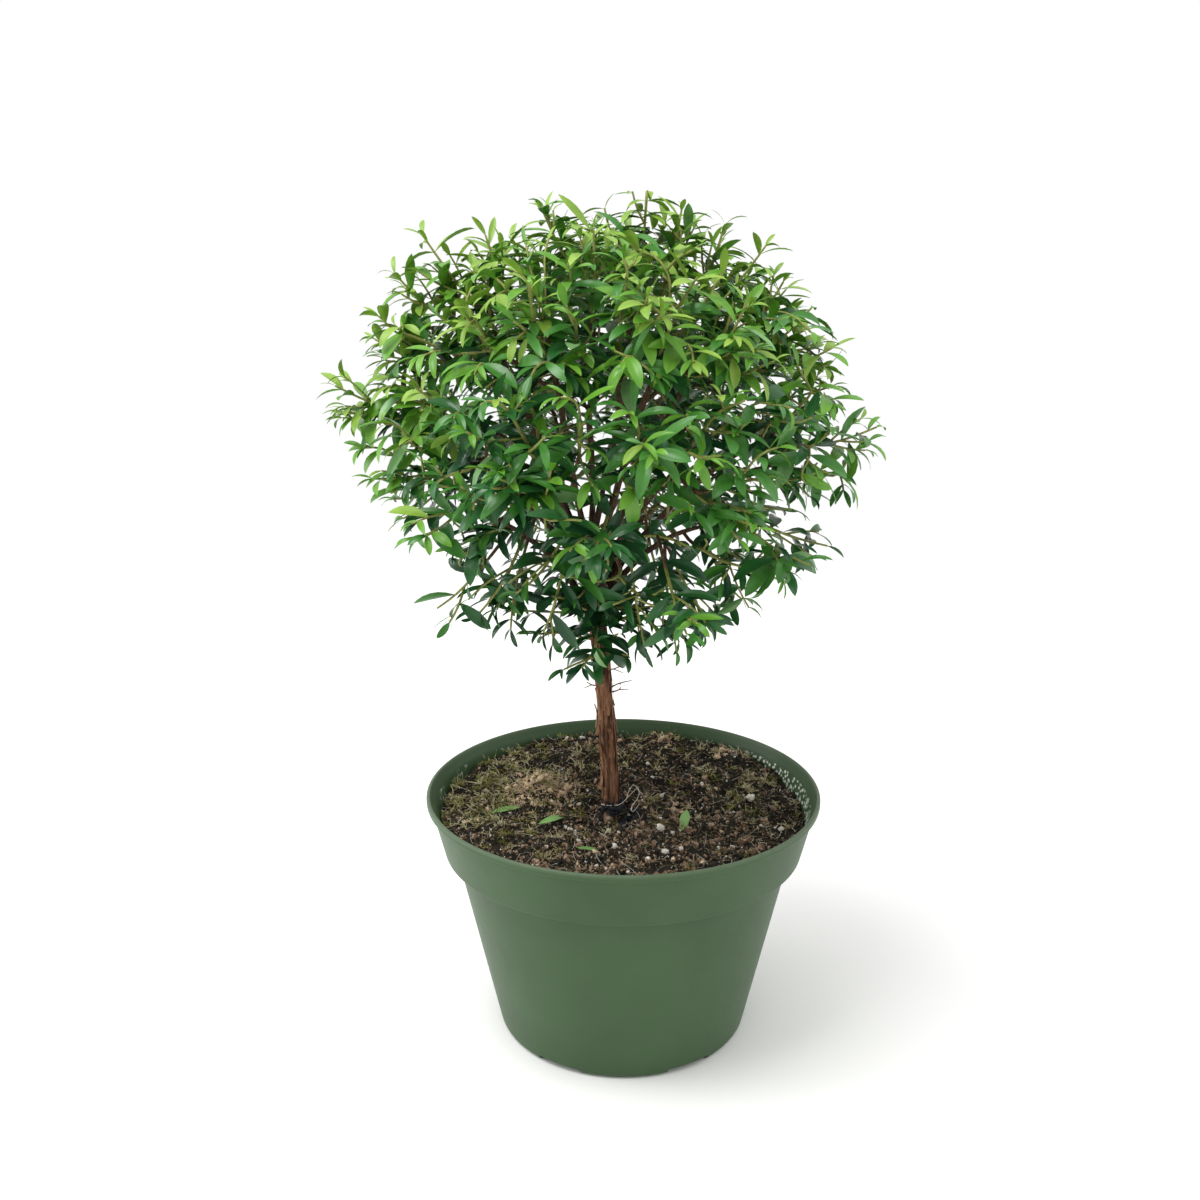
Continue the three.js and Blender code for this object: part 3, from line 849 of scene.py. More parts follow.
# %% [markdown]
# ## Bark
#
# Myrtle bark is reddish brown and peels off in long thin strips, so the stem is never a smooth
# tube. A cylinder with a bump pattern would keep a straight outline. Here the skin itself is moved:
# each point of a fine tube is pushed in or out by noise that is stretched along the stem, which
# gives ridges a millimetre or so wide and many millimetres long. Loose strips are added on top.

# %% Bark relief
RIDGE_WIDTH = 1.1 * MM
RIDGE_LENGTH = 16 * MM
KNOT_SIZE = 11 * MM


def bark_limb(heap, line, radii, sides, ring_gap, relief):
    """Adds a limb whose skin is ridged along its length. Relief is the depth of the ridges."""
    line, radii = np.asarray(line, float), np.asarray(radii, float)
    lengths = lengths_along(line)
    steps = np.linspace(0, lengths[-1], max(3, int(lengths[-1] / ring_gap)))
    smooth = at_length(steps, lengths, line)
    for _ in range(4):
        smooth[1:-1] = (smooth[:-2] + 2 * smooth[1:-1] + smooth[2:]) / 4
    thick = np.interp(steps, lengths, radii)
    before = len(heap.points)
    tube(heap, smooth, thick, sides)
    skin = heap.points[before]
    for i, point in enumerate(skin[:-2]):
        ring = i // sides
        out = (point - smooth[ring]) / thick[ring]
        across = out * thick[ring] / RIDGE_WIDTH
        place = Vector(across + [0, 0, steps[ring] / RIDGE_LENGTH - across[2]])
        ridges = noise.noise(place) + 0.5 * noise.noise(place * 2.1)
        knots = noise.noise(Vector(point / KNOT_SIZE))
        skin[i] = point + out * (relief * ridges + 1.3 * relief * knots)


# %% Stem and boughs
STEM_SUNK = 7 * MM
BOUGH_RADII = 1.7 * MM, 1.05 * MM

stem_line, stem_radii = middle_line(stem_points, foot, head, 14)
stem_radii *= np.interp(stem_line[:, 2] - foot[2], (0, 50 * MM, 110 * MM), (0.8, 0.93, 1))


def bough_line(name):
    """The middle line of a bough, from inside the stem to where it enters its mass."""
    points = node_points(name)
    from_stem = np.array([np.linalg.norm(stem_line - p, axis=1).min() for p in points])
    tip_side = points[from_stem > from_stem.max() - 1.5 * MM].mean(axis=0)
    base_side = points[from_stem < from_stem.min() + 1.5 * MM].mean(axis=0)
    line, _ = middle_line(points, base_side, tip_side, 5)
    line = np.vstack([line[:-1], tip_side])
    nearest = stem_line[np.argmin(np.linalg.norm(stem_line - line[0], axis=1))]
    below = np.array([0, 0, -6 * MM])
    return np.vstack([(nearest + line[0]) / 2 + below, line])


bough_lines = {name: bough_line(name) for name in BOUGH_NAMES}

bark, bough_bark = Heap(), Heap()
sunk_line = np.vstack([stem_line[0] - [0, 0, STEM_SUNK], stem_line])
sunk_radii = np.concatenate([[stem_radii[0] * 1.1], stem_radii])
bark_limb(bark, sunk_line, sunk_radii, sides=84, ring_gap=0.6 * MM, relief=0.34 * MM)
for name, line in bough_lines.items():
    radii = np.linspace(*BOUGH_RADII, len(line))
    bark_limb(bough_bark, line, radii, sides=22, ring_gap=0.9 * MM, relief=0.16 * MM)

# %% [markdown]
# ### Peeling strips
#
# A strip of bark lets go at one edge or one end and curls away. Each strip here is a narrow ribbon
# that lies along the stem and lifts towards its free end. They catch the light as pale streaks and
# break up the stem's straight edge.

# %% Peeling strips
STRIP_COUNT = 120
STRIP_ALONG = 9
STRIP_ACROSS = (-0.5, -0.15, 0.15, 0.5)
rng = np.random.default_rng(41)


def stem_at(height):
    """Middle and radius of the stem at a height."""
    heights = stem_line[:, 2]
    return at_length(height, heights, stem_line), np.interp(height, heights, stem_radii)


def outward_at(turn):
    """The level direction at a turn about Z."""
    return np.array([math.cos(turn), math.sin(turn), 0])


def peeling_strip(heap):
    """Adds one ribbon of loose bark, a sheet of points along and across the stem."""
    base = rng.uniform(foot[2] - 1 * MM, head[2] - 12 * MM)
    length = rng.uniform(6, 24) * MM
    width = rng.uniform(0.5, 1.5) * MM
    lift = rng.uniform(0.2, 1.3) * MM * rng.choice([1, 1, 1.8])
    turn = rng.uniform(0, 2 * math.pi)
    downwards = rng.random() < 0.4
    points = []
    for along in np.linspace(0, 1, STRIP_ALONG):
        middle, radius = stem_at(base + length * (1 - along if downwards else along))
        for across in STRIP_ACROSS:
            angle = turn + across * width / radius + 0.12 * math.sin(5 * along + turn)
            out = outward_at(angle)
            rise = radius + 0.12 * MM + lift * along**2.5 + 0.5 * MM * across * math.sin(3 * turn)
            points.append(middle + out * rise)
    heap.add(points, grid_quads(STRIP_ALONG, len(STRIP_ACROSS)))


strips = Heap()
for _ in range(STRIP_COUNT):
    peeling_strip(strips)

# %% [markdown]
# ### Twig stubs
#
# The stem was kept bare by rubbing off its side shoots. A few dry ends as thin as wire are left
# just under the head. Each is a short crooked limb that forks once.

# %% Twig stubs
# Height in mm, turn in radians, length in mm.
STUBS = [(149, 0.2, 9), (151, 3.4, 5), (158, -0.5, 6), (147, 0.5, 5)]
for height_mm, turn, length_mm in STUBS:
    middle, radius = stem_at(height_mm * MM)
    out = outward_at(turn) + [0, 0, 0.3]
    share = np.linspace(0, 1, 6)[:, None]
    crook = rng.normal(0, 0.9, 3) * MM * np.sin(math.pi * share)
    line = middle + out * radius * 0.7 + out * length_mm * MM * share + crook
    tube(strips, line, np.linspace(0.4, 0.2, 6) * MM, sides=5)
    fork = line[3] + (out + rng.normal(0, 0.5, 3)) * 2.5 * MM * share[:3] * 2.5
    tube(strips, fork, np.linspace(0.25, 0.15, 3) * MM, sides=5)

# %% [markdown]
# ### Bark finish
#
# Fresh bark under the strips is a warm red brown and worn bark is grey tan. The streak noise sets the
# fine bump and most of the colour, so the grooves come out darker. Dry bark is rough and has no shine.
# The colours run along the stem in streaks as wide as the ridges, so the noise is squeezed to a
# millimetre across and left long upwards. The boughs stand in the shade of the head, so their bark
# is darker and greyer.

# %% Bark material
def streaked(name, stops, across_mm, along_mm, roughness, bump_mm):
    """A dry fibrous finish: colours in streaks that run up the piece."""
    dry = {"Roughness": roughness, "Specular IOR Level": 0.25}
    material, tree, shader, place = new_material(name, dry)
    squeeze = (cells_per_metre(across_mm), cells_per_metre(across_mm), cells_per_metre(along_mm))
    streak_place = add_node(tree, "ShaderNodeMapping", {"Scale": squeeze}, {"Vector": place})
    streaks = add_node(tree, "ShaderNodeTexNoise",
        {"Scale": 1, "Detail": 5, "Roughness": 0.65, "Distortion": 0.4}, {"Vector": streak_place})
    blotches = add_node(tree, "ShaderNodeTexNoise", {"Scale": cells_per_metre(14), "Detail": 3},
        {"Vector": place})
    both = add_node(tree, "ShaderNodeMath", {"operation": "MULTIPLY_ADD", 1: 0.45},
        {0: blotches, 2: streaks})
    spread = add_node(tree, "ShaderNodeMapRange", {"From Min": 0.5, "From Max": 0.98}, {"Value": both})
    colours = add_node(tree, "ShaderNodeValToRGB", {"stops": stops}, {"Fac": spread})
    # The streaks that set the bump also set the colour, so the grooves come out darker.
    bump = add_node(tree, "ShaderNodeBump", {"Strength": 0.8, "Distance": bump_mm * MM},
        {"Height": streaks})
    connect(tree, shader, {"Base Color": colours, "Normal": bump})
    return material


myrtle_bark = streaked("myrtle_bark",
    [(0.0, "#1f140e"), (0.3, "#442b1d"), (0.55, "#684733"), (0.8, "#87684f"), (1.0, "#ab927a")],
    across_mm=1.3, along_mm=15, roughness=0.9, bump_mm=0.35)
loose_bark = streaked("loose_bark",
    [(0.0, "#503427"), (0.5, "#80593f"), (1.0, "#b3967a")],
    across_mm=1.0, along_mm=9, roughness=0.85, bump_mm=0.15)
shaded_bark = streaked("shaded_bark",
    [(0.0, "#1f1712"), (0.4, "#3d2c22"), (0.8, "#5a4636"), (1.0, "#75624e")],
    across_mm=1.1, along_mm=12, roughness=0.9, bump_mm=0.2)
bark.piece("bark", myrtle_bark, "bark", "stem")
bough_bark.piece("bough_bark", shaded_bark, "bark", *BOUGH_NAMES)
strips.piece("bark_strips", loose_bark, "bark")

# %% [markdown]
# ## How the head grows
#
# On a clipped myrtle every bough forks again and again until its shoots reach the light. A rule
# called space colonization copies this: points are scattered through the room that a bough may
# fill, each bud grows a few millimetres towards the free points near it, and a point is used up once
# a twig has come close. Forks and gaps then fall into place by themselves. The other common rule,
# an L-system, repeats one pattern and is hard to keep inside a given outline.

# %% Room to grow in
# A third would fill a mass evenly, and a little more keeps some points near its middle.
FILL_POWER = 0.36


def lump(name):
    """The middle of a mass, its triangles, and the area of each."""
    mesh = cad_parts[name].data
    mesh.calc_loop_triangles()
    index = np.empty(len(mesh.loop_triangles) * 3, np.int32)
    mesh.loop_triangles.foreach_get("vertices", index)
    corners = node_points(name)[index.reshape(-1, 3)]
    area = np.linalg.norm(np.cross(corners[:, 1] - corners[:, 0], corners[:, 2] - corners[:, 0]),
        axis=1) / 2
    return corners.reshape(-1, 3).mean(axis=0), corners, area


def litres_in(middle, corners):
    """Volume of a mass in litres, summed over the slim pyramids from its middle to its triangles."""
    a, b, c = (corners[:, i] - middle for i in range(3))
    return abs(np.einsum("ij,ij->i", a, np.cross(b, c)).sum()) / 6 * 1000


def scatter_in(name, count, outermost, rng):
    """Random points inside a mass: a point of its surface, drawn back towards its middle.

    On the side that faces out of the head they stop at the outermost share. On the sides that
    meet other masses they go all the way, so that no gap shows between masses."""
    middle, corners, area = lump(name)
    outward = unit(middle - crown_middle)
    pick = rng.choice(len(corners), count, p=area / area.sum())
    a, b = rng.random((2, count, 1))
    flip = a + b > 1
    a, b = np.where(flip, 1 - a, a), np.where(flip, 1 - b, b)
    surface = corners[pick, 0] * (1 - a - b) + corners[pick, 1] * a + corners[pick, 2] * b
    facing = np.clip(unit(surface - middle) @ outward * 2, 0, 1)[:, None]
    limit = 1 + (outermost - 1) * facing
    return middle + (surface - middle) * limit * rng.random((count, 1)) ** FILL_POWER


# %% [markdown]
# ### The branching rule
#
# The rule keeps a list of twig joints, each with the joint it grew from. On each round, every free
# point pulls on its nearest joint if that is close enough. A pulled joint grows one step along the
# mean pull, bent a little upwards, because shoots seek the light.

# %% Branching
STEP = 4.2 * MM
PULL_RANGE = 60 * MM
USED_UP_WITHIN = 7.5 * MM
LOAD_POWER = 0.3
ROUNDS = 60


def colonize(start, heading, targets, lift, rng):
    """Grows joints from start towards the targets. Returns the joints and each joint's parent."""
    joints = [start, start + heading * STEP]
    parents = [-1, 0]
    free = targets
    for _ in range(ROUNDS):
        if not len(free):
            break
        placed = np.array(joints)
        gaps = np.linalg.norm(free[:, None] - placed[None], axis=2)
        nearest, distance = gaps.argmin(axis=1), gaps.min(axis=1)
        pulled = distance < PULL_RANGE
        if not pulled.any():
            break
        for joint in np.unique(nearest[pulled]):
            pulls = unit(free[pulled & (nearest == joint)] - placed[joint])
            towards = pulls.mean(axis=0) + [0, 0, lift] + rng.normal(0, 0.12, 3)
            step_end = placed[joint] + unit(towards) * STEP
            if np.linalg.norm(placed - step_end, axis=1).min() > STEP * 0.35:
                joints.append(step_end)
                parents.append(int(joint))
        newest = np.array(joints[len(placed) :]).reshape(-1, 3)
        if not len(newest):
            break
        reached = np.linalg.norm(free[:, None] - newest[None], axis=2).min(axis=1) < USED_UP_WITHIN
        free = free[~reached]
    return np.array(joints), parents


def limbs_of(joints, parents, tip_radius):
    """Splits a grown tree into limbs, each a line of points with radii, thickest way first."""
    count = len(joints)
    children = [[] for _ in range(count)]
    for joint, parent in enumerate(parents):
        if parent >= 0:
            children[parent].append(joint)
    reach, load = np.zeros(count), np.ones(count)
    for joint in range(count - 1, -1, -1):
        if children[joint]:
            reach[joint] = STEP + max(reach[child] for child in children[joint])
            load[joint] = sum(load[child] for child in children[joint])
    # A limb thickens with the number of tips that it feeds.
    radius = tip_radius * load**LOAD_POWER
    smooth = joints.copy()
    for _ in range(2):
        for joint in range(1, count):
            if children[joint]:
                main = max(children[joint], key=lambda child: reach[child])
                smooth[joint] = (smooth[joint] * 2 + smooth[parents[joint]] + smooth[main]) / 4
    limbs, starts = [], [(0, None)]
    while starts:
        joint, parent = starts.pop()
        way = [] if parent is None else [parent]
        first_radius = radius[joint]
        while True:
            way.append(joint)
            if not children[joint]:
                break
            ordered = sorted(children[joint], key=lambda child: -reach[child])
            starts += [(child, joint) for child in ordered[1:]]
            joint = ordered[0]
        thickness = radius[way]
        if parent is not None:
            thickness[0] = first_radius
        limbs.append((smooth[way], thickness))
    return limbs


# %% [markdown]
# ### Closing the head
#
# Between two masses the solids leave a valley, but on the plant shoots run out there too and close
# the head into one round. So more points are strewn in a shell under the head's outline. How far
# the outline stands out in some direction is a mean of how far the masses near it reach.

# %% Outline of the head
OUTLINE_SHARPNESS = 9
mass_middles = np.array([lump(name)[0] for name in MASS_NAMES])
crown_middle = mass_middles.mean(axis=0)
mass_directions = unit(mass_middles - crown_middle)
mass_reaches = np.array([np.linalg.norm(node_points(name) - crown_middle, axis=1).max()
    for name in MASS_NAMES])
print("masses reach in mm:", dict(zip(MASS_NAMES, (mass_reaches / MM).round().tolist())))


def outline_towards(directions):
    """How far the head reaches in each direction."""
    weights = np.exp(OUTLINE_SHARPNESS * directions @ mass_directions.T)
    return weights @ mass_reaches / weights.sum(axis=1)


def strewn_in_shell(count, rng):
    """Points under the outline, thicker towards the top, and the mass that each belongs to."""
    directions = unit(rng.normal(size=(count * 2, 3)))
    directions = directions[rng.random(count * 2) < 0.4 + 0.7 * directions[:, 2]][:count]
    depth = rng.uniform(0.6, 0.83, len(directions))
    points = crown_middle + directions * (outline_towards(directions) * depth)[:, None]
    return points, (directions @ mass_directions.T).argmax(axis=1)


# %% [markdown]
# ### Growing every mass
#
# Each bough hands its end, its direction and its room to the rule. The points stop short of the
# mass's surface, because the leaves of the last shoots stand about a leaf's length past them.
# Shoots at the top turn up more strongly than those at the bottom, which hang out sideways.

# %% Grow the twigs
TARGETS_PER_LITRE = 560
SHELL_TARGETS = 800
TWIG_TIP_RADIUS = 0.45 * MM
rng = np.random.default_rng(7)
shell_points, shell_masses = strewn_in_shell(SHELL_TARGETS, rng)
limbs = []
for number, (mass, bough) in enumerate(zip(MASS_NAMES, BOUGH_NAMES)):
    middle, corners, _ = lump(mass)
    litres = litres_in(middle, corners)
    line = bough_lines[bough]
    height = (middle[2] - crown_middle[2]) / (100 * MM)
    count = int(TARGETS_PER_LITRE * litres * (0.95 + 1.0 * height))
    targets = scatter_in(mass, count, 0.74, rng)
    targets = np.vstack([targets, shell_points[shell_masses == number]])
    joints, parents = colonize(line[-1], unit(line[-1] - line[-2]), targets, 0.27 + 0.2 * height, rng)
    grown = limbs_of(joints, parents, TWIG_TIP_RADIUS)
    limbs += grown
    print(f"{mass}: {litres:.2f} litres, {len(joints)} joints, {len(grown)} limbs")

# %% [markdown]
# ### Shoots that lead the outline
#
# A standard is clipped by hand, and between clippings a few shoots run ahead of the rest. They
# give this head its ragged outline, so the furthest ones are placed one by one. Each grows from the
# nearest twig out to its own tip, sags a little at its middle, and carries two or three side shoots.
# A few short shoots also sprout from the stem itself, just under the head.

# %% Leading shoots
# Where each tip ends: x, y and z in mm, from the ground under the pot's axis.
LEADERS_MM = [
    (-112, -4, 273), (-108, 4, 262), (-98, 8, 290), (-98, -12, 238), (-92, 0, 228), (-67, -8, 210),
    (-75, -8, 185), (-60, -8, 181), (-46, -4, 175), (-42, -26, 196), (-32, -18, 178), (8, -20, 172),
    (22, -12, 172), (36, -10, 178), (48, 4, 186), (66, -6, 195), (80, -10, 211), (98, -4, 257),
    (67, -12, 238), (64, 8, 222), (82, 6, 272), (80, 0, 287), (72, 4, 302), (60, -2, 312), (52, -8, 325),
    (38, 6, 333), (21, 0, 338), (8, -2, 345), (-8, 6, 339), (-30, -2, 338), (-53, 0, 329), (-77, 2, 329),
    (-88, 0, 315), (-95, 2, 299), (4, -86, 262), (-12, -84, 226), (20, -82, 196), (44, -78, 232),
    (-46, -80, 246), (6, -70, 308), (-34, -62, 312), (40, -58, 306), (-12, -34, 330), (-24, 14, 330),
    (-10, 36, 332), (-58, 58, 300), (-26, 66, 312), (6, 72, 310), (38, 62, 304), (72, 52, 284),
    (-88, 48, 262), (76, 56, 244), (40, 84, 262), (2, 92, 268), (-44, 86, 252), (-66, 66, 222),
    (-34, 76, 206), (8, 74, 200), (50, 64, 208), (-20, 46, 182), (22, 44, 180), (-78, -48, 222),
    (66, -56, 214),
]
# Short shoots on the stem's upper end: height in mm, turn in radians, length and rise in mm.
STEM_SHOOTS = [
    (164, -2.4, 20, -2), (166, -0.9, 18, 2), (168, -1.9, 22, -3), (170, 2.6, 20, 0), (172, -1.2, 20, 6),
    (174, -1.7, 16, 6), (175, -2.6, 30, 2), (178, -1.6, 24, -4), (180, -1.0, 22, 4), (183, -1.9, 20, 6),
    (188, -1.5, 22, 2), (194, -1.8, 26, 0), (198, -1.1, 30, 2), (181, 3.0, 34, 0), (184, -0.5, 30, 4),
    (188, -2.2, 28, 6), (191, -1.4, 26, 2), (196, 2.6, 36, 4), (200, -1.8, 30, 10), (186, 1.4, 32, 2),
    (176, 0.6, 26, 4), (204, -1.3, 38, 8), (207, -2.0, 42, 6), (202, 1.9, 40, 6),
]


def leading_shoot(tip, joints, rng):
    """A line from the nearest twig to the tip that sags at its middle and lifts at its end."""
    inner = crown_middle + (tip - crown_middle) * 0.55
    base = joints[np.argmin(np.linalg.norm(joints - inner, axis=1))]
    share = np.linspace(0, 1, 10)[:, None]
    length = np.linalg.norm(tip - base)
    sag = np.array([0, 0, -0.10 * length]) * np.sin(np.pi * share)
    sway = rng.normal(0, 0.03, 3) * length * np.sin(np.pi * share)
    return base + (tip - base) * share + sag + sway


def tapered(line, thick_mm, thin_mm):
    """A line with radii that shrink evenly along it."""
    return line, np.linspace(thick_mm, thin_mm, len(line)) * MM


def side_shoots(line, rng):
    """Two or three short shoots that leave a leading shoot, aslant and forwards."""
    found = []
    for share in rng.uniform(0.3, 0.8, rng.integers(2, 4)):
        at = int(share * (len(line) - 1))
        ahead = unit(line[at + 1] - line[at])
        aside = unit(np.cross(ahead, rng.normal(size=3)))
        length = rng.uniform(0.35, 0.6) * (1 - share) * np.linalg.norm(line[-1] - line[0]) + 6 * MM
        steps = np.linspace(0, 1, 6)[:, None]
        found.append(line[at] + length * (ahead * steps + aside * 0.7 * (steps - 0.3 * steps**2)))
    return found


all_joints = np.concatenate([line for line, _ in limbs])
rng = np.random.default_rng(19)
leaders = []
for height_mm, turn, length_mm, rise_mm in STEM_SHOOTS:
    start, _ = stem_at(height_mm * MM)
    out = outward_at(turn) * length_mm * MM
    share = np.linspace(0, 1, 8)[:, None]
    line = start + out * share + np.array([0, 0, rise_mm * MM]) * share**1.6
    leaders.append(tapered(line, 0.7, 0.42))
for tip_mm in LEADERS_MM:
    line = leading_shoot(np.array(tip_mm) * MM, all_joints, rng)
    leaders.append(tapered(line, 0.75, 0.42))
    leaders += [tapered(side, 0.5, 0.38) for side in side_shoots(line, rng)]
print(f"{len(limbs)} limbs and {len(leaders)} leading shoots")

# %% [markdown]
# ### Green shoots and woody twigs
#
# The last few centimetres of every shoot are this year's growth, olive green and thin skinned.
# Behind that the skin turns to brown bark. So each limb is parted at that distance from its tip.

# %% Twigs
GREEN_LENGTH = 36 * MM
twigs, green_shoots = Heap(), Heap()


def from_tip(line):
    """Distance of each point of a line from the line's end."""
    steps = np.linalg.norm(np.diff(line, axis=0), axis=1)
    return np.concatenate([np.cumsum(steps[::-1])[::-1], [0]])


for line, radii in limbs + leaders:
    green = from_tip(line) < GREEN_LENGTH
    first_green = int(np.argmax(green))
    if len(line) - first_green > 1:
        tube(green_shoots, line[first_green:], radii[first_green:], sides=5)
    if first_green > 0:
        tube(twigs, line[: first_green + 1], radii[: first_green + 1], sides=7)

# %% [markdown]
# ## Leaves
#
# A myrtle leaf is a pointed ellipse up to two centimetres long, folded a little along its midrib
# and bent back towards its tip. Leaves stand in opposite pairs, each pair a quarter turn from the last,
# and they turn their upper face to the light. One leaf is a strip with seven stations along its
# midrib, five points across at each, and one point at its tip, so its outline, fold and bend are
# all real shape. All leaves of a kind are worked out at once as arrays, because a loop over
# thousands of leaves would be slow.

# %% Leaf blades
STATIONS = np.array([0.0, 0.07, 0.2, 0.38, 0.56, 0.74, 0.89])
HALF_WIDTHS = np.array([0.07, 0.25, 0.62, 0.92, 1.0, 0.84, 0.48])
ACROSS = np.array([-1, -0.5, 0, 0.5, 1])


def leaf_arrays(base, heading, face, length, width, fold, bend):
    """Points of many leaves. Each row of the inputs is one leaf, and the result is leaf by point."""
    side = unit(np.cross(heading, face))
    face = unit(np.cross(side, heading))
    turn = bend[:, None] * np.append(STATIONS, 1.0)[None] ** 1.2
    gaps = np.diff(np.append(STATIONS, 1.0))
    middle_turn = (turn[:, 1:] + turn[:, :-1]) / 2
    ahead = np.cumsum(np.cos(middle_turn) * gaps, axis=1) * length[:, None]
    back = np.cumsum(-np.sin(middle_turn) * gaps, axis=1) * length[:, None]
    ahead = np.concatenate([np.zeros((len(base), 1)), ahead], axis=1)
    back = np.concatenate([np.zeros((len(base), 1)), back], axis=1)
    midrib = base[:, None] + ahead[..., None] * heading[:, None] + back[..., None] * face[:, None]
    local_face = np.cos(turn)[..., None] * face[:, None] + np.sin(turn)[..., None] * heading[:, None]
    half = HALF_WIDTHS[None] * width[:, None] / 2
    out = ACROSS[None, None] * half[..., None] * np.cos(fold)[:, None, None]
    up = (np.abs(ACROSS) - 0.35 * ACROSS**2)[None, None] * half[..., None] * np.sin(fold)[:, None, None]
    blade = (midrib[:, :-1, None] + out[..., None] * side[:, None, None]
        + up[..., None] * local_face[:, :-1, None])
    return np.concatenate([blade.reshape(len(base), -1, 3), midrib[:, -1:]], axis=1)


LEAF_QUADS = grid_quads(len(STATIONS), len(ACROSS))
LEAF_POINTS = len(STATIONS) * len(ACROSS) + 1
last_row = np.arange(LEAF_POINTS - 1 - len(ACROSS), LEAF_POINTS - 1)
LEAF_TIP = np.stack([last_row[:-1], last_row[1:], np.full(len(ACROSS) - 1, LEAF_POINTS - 1)], -1)


# %% [markdown]
# ### Where leaves stand
#
# Along a shoot the youngest pairs sit close together at the tip and point forwards. Further back
# the pairs are larger, further apart and more open, and on the oldest wood most have dropped.
# So each leaf's age is its distance back from the tip, and age sets its size and angle and, with
# painted light and shade, its colour.

# %% Leaf pairs along a shoot
LEAFY_LENGTH = 58 * MM
FULL_GROWN_AT = 10 * MM
# How far apart full-grown pairs stand, and the share of leaves shed low in the head.
TWIG_LEAVES = 5.7 * MM, 0.62
LEADER_LEAVES = 6.6 * MM, 0.4


def pairs_on(line, rng, spacing, shed):
    """Leaf pairs along one limb: base points, headings, faces, ages and lengths.

    Shed is the share of leaves that are missing low in the head, where it is dark."""
    lengths = lengths_along(line)
    total = lengths[-1]
    tangents = unit(np.gradient(line, axis=0))
    age, quarter = 0.3 * MM, rng.uniform(0, math.pi)
    found = []
    while age < min(total - 1 * MM, LEAFY_LENGTH):
        grown = min(1, (age + 1.5 * MM) / FULL_GROWN_AT)
        place = at_length(total - age, lengths, line)
        tangent = unit(at_length(total - age, lengths, tangents))
        quarter += math.pi / 2 + rng.normal(0, 0.2)
        level = np.cross(tangent, [0, 0, 1.0])
        level = unit(level) if np.linalg.norm(level) > 0.15 else unit(np.cross(tangent, [0.3, 1, 0]))
        other = np.cross(tangent, level)
        flatten = 0.3 + 0.7 * abs(tangent[2])
        lean = unit(level * math.cos(quarter) + other * math.sin(quarter) * flatten)
        for hand in (-1, 1):
            low = np.clip((crown_middle[2] - place[2]) / (60 * MM), 0, 1)
            inner = np.clip(1.7 - np.linalg.norm(place - crown_middle) / (40 * MM), 0, 1)
            # Some leaves are missing by chance, more of them low or deep in the head and on old wood.
            if rng.random() < 0.05 + shed * low + 0.5 * inner + 0.5 * max(0, age - 28 * MM) / (30 * MM):
                continue
            open_angle = math.radians(16 + 50 * grown + rng.normal(0, 10))
            heading = tangent * math.cos(open_angle) + hand * lean * math.sin(open_angle)
            # Blades level out as they grow, and those that hang are lifted towards the light.
            heading[2] *= 0.55 if heading[2] < 0 else 1 - 0.35 * grown
            outward = unit(place - crown_middle)
            face = np.array([0, 0, 0.9]) + tangent * 0.4 + outward * 0.15 + rng.normal(0, 0.26, 3)
            length = (0.38 + 0.62 * grown) * rng.uniform(13, 21 - 2 * low) * MM
            found.append((place, heading, face, age, length))
        age += spacing * (0.45 + 0.55 * grown) * rng.uniform(0.85, 1.2)
    return found


# %% Deal the leaves out by kind
# A few leaves, dealt at random, are pale: partly undersides, partly painted sheen of glossy leaves.
SPRAY_SHADES, PALE_SHARE = 0.65, 0.02
# The kinds run from the lightest green to the darkest, dealt by age and by painted light and shade.
KINDS = ["leaves_tip_and_lit", "leaves_young_and_lit", "leaves_mid", "leaves_mature_and_shaded", "leaves_deep_and_shaded", "leaves_pale_and_sheen"]
rng = np.random.default_rng(23)
dealt = {kind: [] for kind in KINDS}
room_low, room_high = (np.array(corner) for corner in cad_box)
for number, (line, _) in enumerate(limbs + leaders):
    leading = number >= len(limbs)
    spray = pairs_on(line, rng, *(LEADER_LEAVES if leading else TWIG_LEAVES))
    spray_shade = rng.normal(0, SPRAY_SHADES)
    for place, heading, face, age, length in spray:
        tip = place + unit(heading) * length
        # A leaf that would stand above the plant's room is laid level, and others outside it are left out.
        if tip[2] > room_high[2]:
            heading = heading * [1, 1, 0.1]
            tip = place + unit(heading) * length
        if (tip < room_low).any() or (tip > room_high).any():
            continue
        # Older leaves are a deeper green, and each spray has a shade of its own. Height, left and depth
        # add painted light and shade: leaves high in the head and on its left, the lit side, are dealt
        # lighter greens, and leaves deep inside it darker ones.
        height = (place[2] - crown_middle[2]) / (100 * MM)
        depth = 1 - np.linalg.norm(place - crown_middle) / (100 * MM)
        left = max(0, -place[0] / (100 * MM) - 0.5)
        shade = 0.9 + age / (20 * MM) + spray_shade - 2.0 * height + 2.2 * max(0, depth) - 1.5 * left
        newest = 0 if age < 12 * MM else 1
        shade = int(np.clip(round(shade + rng.normal(0, 0.3)), newest, len(KINDS) - 2))
        kind = "leaves_pale_and_sheen" if rng.random() < PALE_SHARE else KINDS[shade]
        dealt[kind].append((place, heading, face, length))

print({kind: len(leaves) for kind, leaves in dealt.items()}, sum(map(len, dealt.values())))

# %% [markdown]
# ### Leaf finish
#
# Myrtle leaves have a waxy skin: smooth, with a soft sheen that shows the sky as a pale patch.
# Wax has an IOR near 1.45 and, on a living leaf, a roughness of about a third. New leaves are
# yellow green, full-grown ones a clear mid green and old ones a deep bluish green. Painted light and
# shade also decide the kind: leaves high in the head and on its left are dealt the lighter greens,
# as lit, and those deep inside it the darker ones, as shaded. Each kind has its own plain base
# colour. Fine unevenness of a few tenths of a millimetre softens the sheen.

